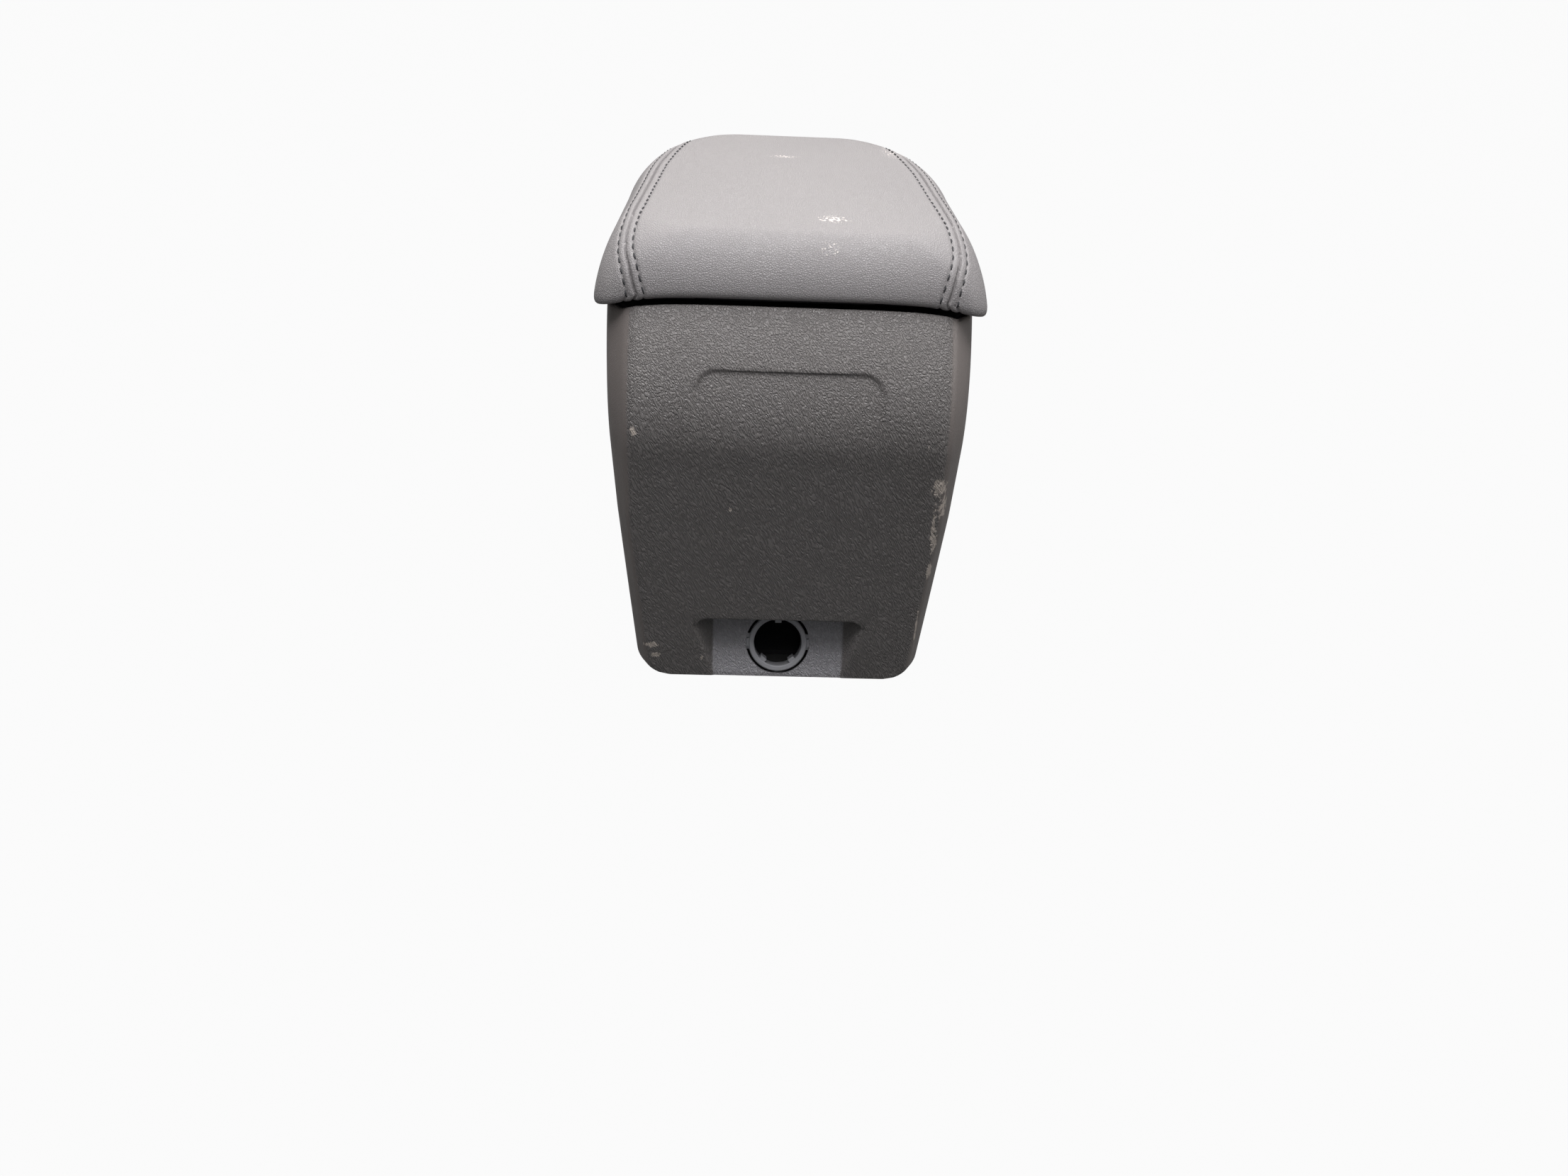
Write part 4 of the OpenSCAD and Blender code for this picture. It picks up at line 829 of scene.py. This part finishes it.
def build_stitches(mesh, chains, material):
    bm = bmesh.new()
    bm.from_mesh(mesh)
    tree = BVHTree.FromBMesh(bm)
    points, faces = [], []
    sides, sections, radius = 6, 7, THREAD_R * MM
    for side, chain in zip((-1, 1), chains):
        for out in (-STITCH_OUT, STITCH_OUT):
            pts = along_row(chain, side, out, STITCH_PITCH)
            for a, b in zip(pts[:-1], pts[1:]):
                a, b = mix(a, b, 0.08), mix(a, b, 0.8)
                rings = []
                for i in range(sections):
                    t = i / (sections - 1)
                    p = Vector(mix(a, b, t))
                    hit, normal, _, _ = tree.find_nearest(p)
                    along = Vector(b - a).normalized()
                    across = along.cross(normal).normalized()
                    lift = (0.12 - 0.6 * abs(2 * t - 1) ** 3) * MM
                    slim = radius * (0.55 + 0.45 * math.sin(math.pi * (0.08 + 0.84 * t)))
                    mid = hit + normal * lift
                    rings.append([mid + across * slim * math.cos(q) + normal * slim * math.sin(q)
                                  for q in np.linspace(0, 2 * math.pi, sides + 1)[:-1]])
                k = len(points)
                for ring in rings:
                    points += [tuple(p) for p in ring]
                faces += grid_faces(sections, sides, start=k)
                last = k + (sections - 1) * sides
                faces += [tuple(range(k + sides - 1, k - 1, -1)), tuple(range(last, last + sides))]
    bm.free()
    obj = make_object("lid_stitching", points, faces, material, scale=1.0)
    obj.data.shade_smooth()
    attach(obj, "lid")


def build_foam(material, chains):
    foam_ts = SKIN_T + LAYER
    outer = dome(math.radians(2), foam_ts, foam_ts + 1.2, foam_ts, 16, 12)
    inner = dome(math.radians(2), foam_ts + FOAM_SIDE, foam_ts + FOAM_TOP, foam_ts, 16, 12)
    rows, cols = len(outer), len(outer[0])
    outer, inner = np.array(outer).reshape(-1, 3), np.array(inner).reshape(-1, 3)
    for pts, _ in chains:
        # The pad gives way under each seam, by no more than its own thickness allows
        line = pts / MM
        through = inner - outer
        thick = np.linalg.norm(through, axis=1)
        away = segment_distance(outer, line[:-1], line[1:])
        sink = np.minimum(1.9 * np.exp(-(away / 5.0) ** 2), 0.6 * thick)
        outer = outer + through * (sink / thick)[:, None]
    points = list(outer) + list(inner)
    faces = grid_faces(rows, cols)
    faces += [tuple(reversed(f)) for f in grid_faces(rows, cols, start=rows * cols)]
    for j in range(cols):
        k = (j + 1) % cols
        faces.append((j, rows * cols + j, rows * cols + k, k))
    for base, flip in ((0, False), (rows * cols, True)):
        ring = [base + (rows - 1) * cols + j for j in range(cols)]
        faces.append(tuple(reversed(ring)) if flip else tuple(ring))
    obj = make_object("lid_foam_pad", points, faces, material)
    soften(obj, 50)
    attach(obj, "lid")
    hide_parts("lid_foam")


# Wear on the cover and dust on the lid: centre and half size of each place
COVER_WEAR = [
    ((-77.5, -131, 154.7), (2.5, 6, 4.5)), ((78.8, -131, 128), (6, 9, 7)), ((81.6, -128, 115.7), (3.5, 9, 11)),
    ((79.5, -130, 95.2), (2.6, 9, 11)), ((78.9, -129, 75.7), (2.4, 9, 8)), ((78.2, -130, 104), (1.8, 8, 18)),
    ((-70.4, -129, 21.1), (6, 8, 3)), ((-68.5, -129, 14.1), (4, 8, 2.5)), ((-42.7, -130, 12.4), (1.5, 5, 2)),
    ((-28.4, -131, 111.2), (1.2, 5, 2)), ((71.3, -131, 149.7), (1.2, 5, 3)), ((76, -129, 36), (0.8, 6, 20)),
]
LID_DUST = [
    ((-4, 33, 246), (12, 4, 6)), ((20, -68, 244), (11, 6, 6)), ((19, -89, 234), (10, 6, 6)),
    ((60, 60, 240), (10, 20, 8)),
]


def build_lights():
    def area(name, place, target, size, power, color):
        data = bpy.data.lights.new(name, "AREA")
        data.shape = "RECTANGLE"
        data.size, data.size_y = size
        data.energy = power
        data.color = color
        obj = bpy.data.objects.new(name, data)
        obj.location = place
        obj.rotation_mode = "QUATERNION"
        obj.rotation_quaternion = (Vector(target) - Vector(place)).to_track_quat("-Z", "Y")
        link(obj)

    area("light_behind", (-0.2, 1.45, 1.9), (0, 0, 0.2), (2.4, 2.4), 46, (1.0, 0.97, 0.94))
    area("light_top", (0.1, -0.18, 1.75), (0, -0.1, 0.15), (1.8, 0.7), 42, (0.99, 0.99, 1.0))
    area("light_high", (0.15, -1.25, 1.45), (0, 0, 0.15), (0.7, 0.5), 2.2, (0.99, 0.99, 1.0))
    area("light_low", (0.1, -2.0, 0.75), (0, 0, 0.1), (1.2, 0.5), 0.7, (0.95, 0.97, 1.0))
    area("light_face", (0.0, -1.75, 1.05), (0, 0, 0.15), (0.4, 0.4), 1.9, (0.98, 0.99, 1.0))
    area("light_right", (1.8, -0.2, 0.8), (0, 0, 0.15), (0.8, 0.8), 6.5, (1.0, 0.99, 0.98))
    area("light_left", (-1.8, -0.3, 0.7), (0, 0, 0.15), (0.8, 0.8), 1.1, (1.0, 0.96, 0.92))
    world = bpy.data.worlds.new("world")
    world.use_nodes = True
    tree = world.node_tree
    tree.nodes.clear()
    back = tree.nodes.new("ShaderNodeBackground")
    plain = tree.nodes.new("ShaderNodeBackground")
    back.inputs["Color"].default_value = (1, 1, 1, 1)
    back.inputs["Strength"].default_value = 1.0
    plain.inputs["Color"].default_value = (0.93, 0.95, 1.0, 1)
    plain.inputs["Strength"].default_value = 0.04
    path = tree.nodes.new("ShaderNodeLightPath")
    blend = tree.nodes.new("ShaderNodeMixShader")
    out = tree.nodes.new("ShaderNodeOutputWorld")
    tree.links.new(path.outputs["Is Camera Ray"], blend.inputs[0])
    tree.links.new(plain.outputs[0], blend.inputs[1])
    tree.links.new(back.outputs[0], blend.inputs[2])
    tree.links.new(blend.outputs[0], out.inputs[0])
    bpy.context.scene.world = world


def build_floor():
    mesh = bpy.data.meshes.new("floor")
    half, low = 4.0, -0.0005
    corners = [(-half, -half, low), (half, -half, low), (half, half, low), (-half, half, low)]
    mesh.from_pydata(corners, [], [(0, 1, 2, 3)])
    floor = bpy.data.objects.new("floor", mesh)
    link(floor)
    n = Nodes("floor_white")
    diffuse = n.add("ShaderNodeBsdfDiffuse")
    n.put(diffuse, "Color", (0.05, 0.05, 0.05, 1))
    glow = n.add("ShaderNodeEmission")
    n.put(glow, "Strength", 1.0)
    path = n.add("ShaderNodeLightPath")
    place = n.add("ShaderNodeSeparateXYZ")
    n.put(place, 0, n.pos)
    # Painted shadow: under the cover's footprint the floor gets no glow, so it shows dark through the socket hole.
    beyond_x = n.math("GREATER_THAN", n.math("ABSOLUTE", place.outputs["X"]), 52 * MM)
    beyond_y = n.math("GREATER_THAN", n.math("ABSOLUTE", n.math("ADD", place.outputs["Y"], 63.5 * MM)), 64 * MM)
    glow_outside_painted_shadow = n.math("MAXIMUM", beyond_x, beyond_y)
    glossy = n.math("MULTIPLY", path.outputs["Is Glossy Ray"], 0.2)
    straight = n.math("MAXIMUM", path.outputs["Is Camera Ray"], path.outputs["Is Transmission Ray"])
    rays = n.math("MAXIMUM", straight, glossy)
    seen = n.math("MULTIPLY", n.math("MULTIPLY", rays, 0.96), glow_outside_painted_shadow)
    blend = n.add("ShaderNodeMixShader")
    n.put(blend, 0, seen)
    n.tree.links.new(diffuse.outputs[0], blend.inputs[1])
    n.tree.links.new(glow.outputs[0], blend.inputs[2])
    n.tree.links.new(blend.outputs[0], n.out.inputs["Surface"])
    mesh.materials.append(n.mat)


def dress_cad():
    """Carried-over CAD nodes keep their shape and get their finish."""
    dark = plain_material("inner_plastic_grained", (44, 44, 46), (52, 52, 54), 0.55, 900, 0.0001)
    finishes = {
        "socket_sleeve": plain_material("sleeve_plastic_satin", (148, 148, 152), (158, 158, 162), 0.42, 1200, 0.00004),
        "storage_bin": dark,
        "lid_carrier": dark,
        "lid_lining": dark,
        "bin_mat": plain_material("mat_rubber_matte", (30, 30, 31), (38, 38, 39), 0.8, 700, 0.0003),
        "base_plate": plain_material("base_steel_coated", (58, 58, 60), (66, 66, 68), 0.4, 600, 0.00005, 0.6),
        "lid_bumpers": plain_material("bumper_rubber_matte", (26, 26, 26), (34, 34, 34), 0.75, 900, 0.0001),
        "hinge_pin": plain_material("pin_steel_ground", (176, 176, 178), (190, 190, 190), 0.28, 1500, 0.00003, 1.0),
        "hinge_washers": plain_material("washer_plastic_smooth", (220, 218, 212), (228, 226, 220), 0.4, 900, 0.00003),
    }
    coated = plain_material("hinge_steel_coated", (46, 46, 48), (56, 56, 58), 0.38, 800, 0.00005, 0.6)
    zinc = plain_material("screw_steel_zinc", (168, 170, 172), (190, 190, 186), 0.32, 1500, 0.00004, 1.0)
    for name in ("hinge_base", "hinge_leaf"):
        finishes[name] = coated
    for name in ("cover_screws", "bin_screws", "hinge_base_screws", "leaf_screws", "lining_screws"):
        finishes[name] = zinc
    for name, material in finishes.items():
        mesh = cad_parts[name].data
        mesh.materials.clear()
        mesh.materials.append(material)


bpy.context.scene.view_settings.view_transform = "Standard"
place_camera()
build_lights()
build_floor()
dress_cad()
build_cover(cover_material())
leather_mesh, seam_chains = build_leather(leather_material())
build_stitches(leather_mesh, seam_chains, plain_material("thread_dark", (40, 40, 43), (50, 50, 53), 0.6, 3000, 0.0001))
build_foam(plain_material("foam_moulded", (120, 116, 104), (132, 127, 114), 0.9, 700, 0.0004), seam_chains)
bpy.data.meshes.remove(leather_mesh)
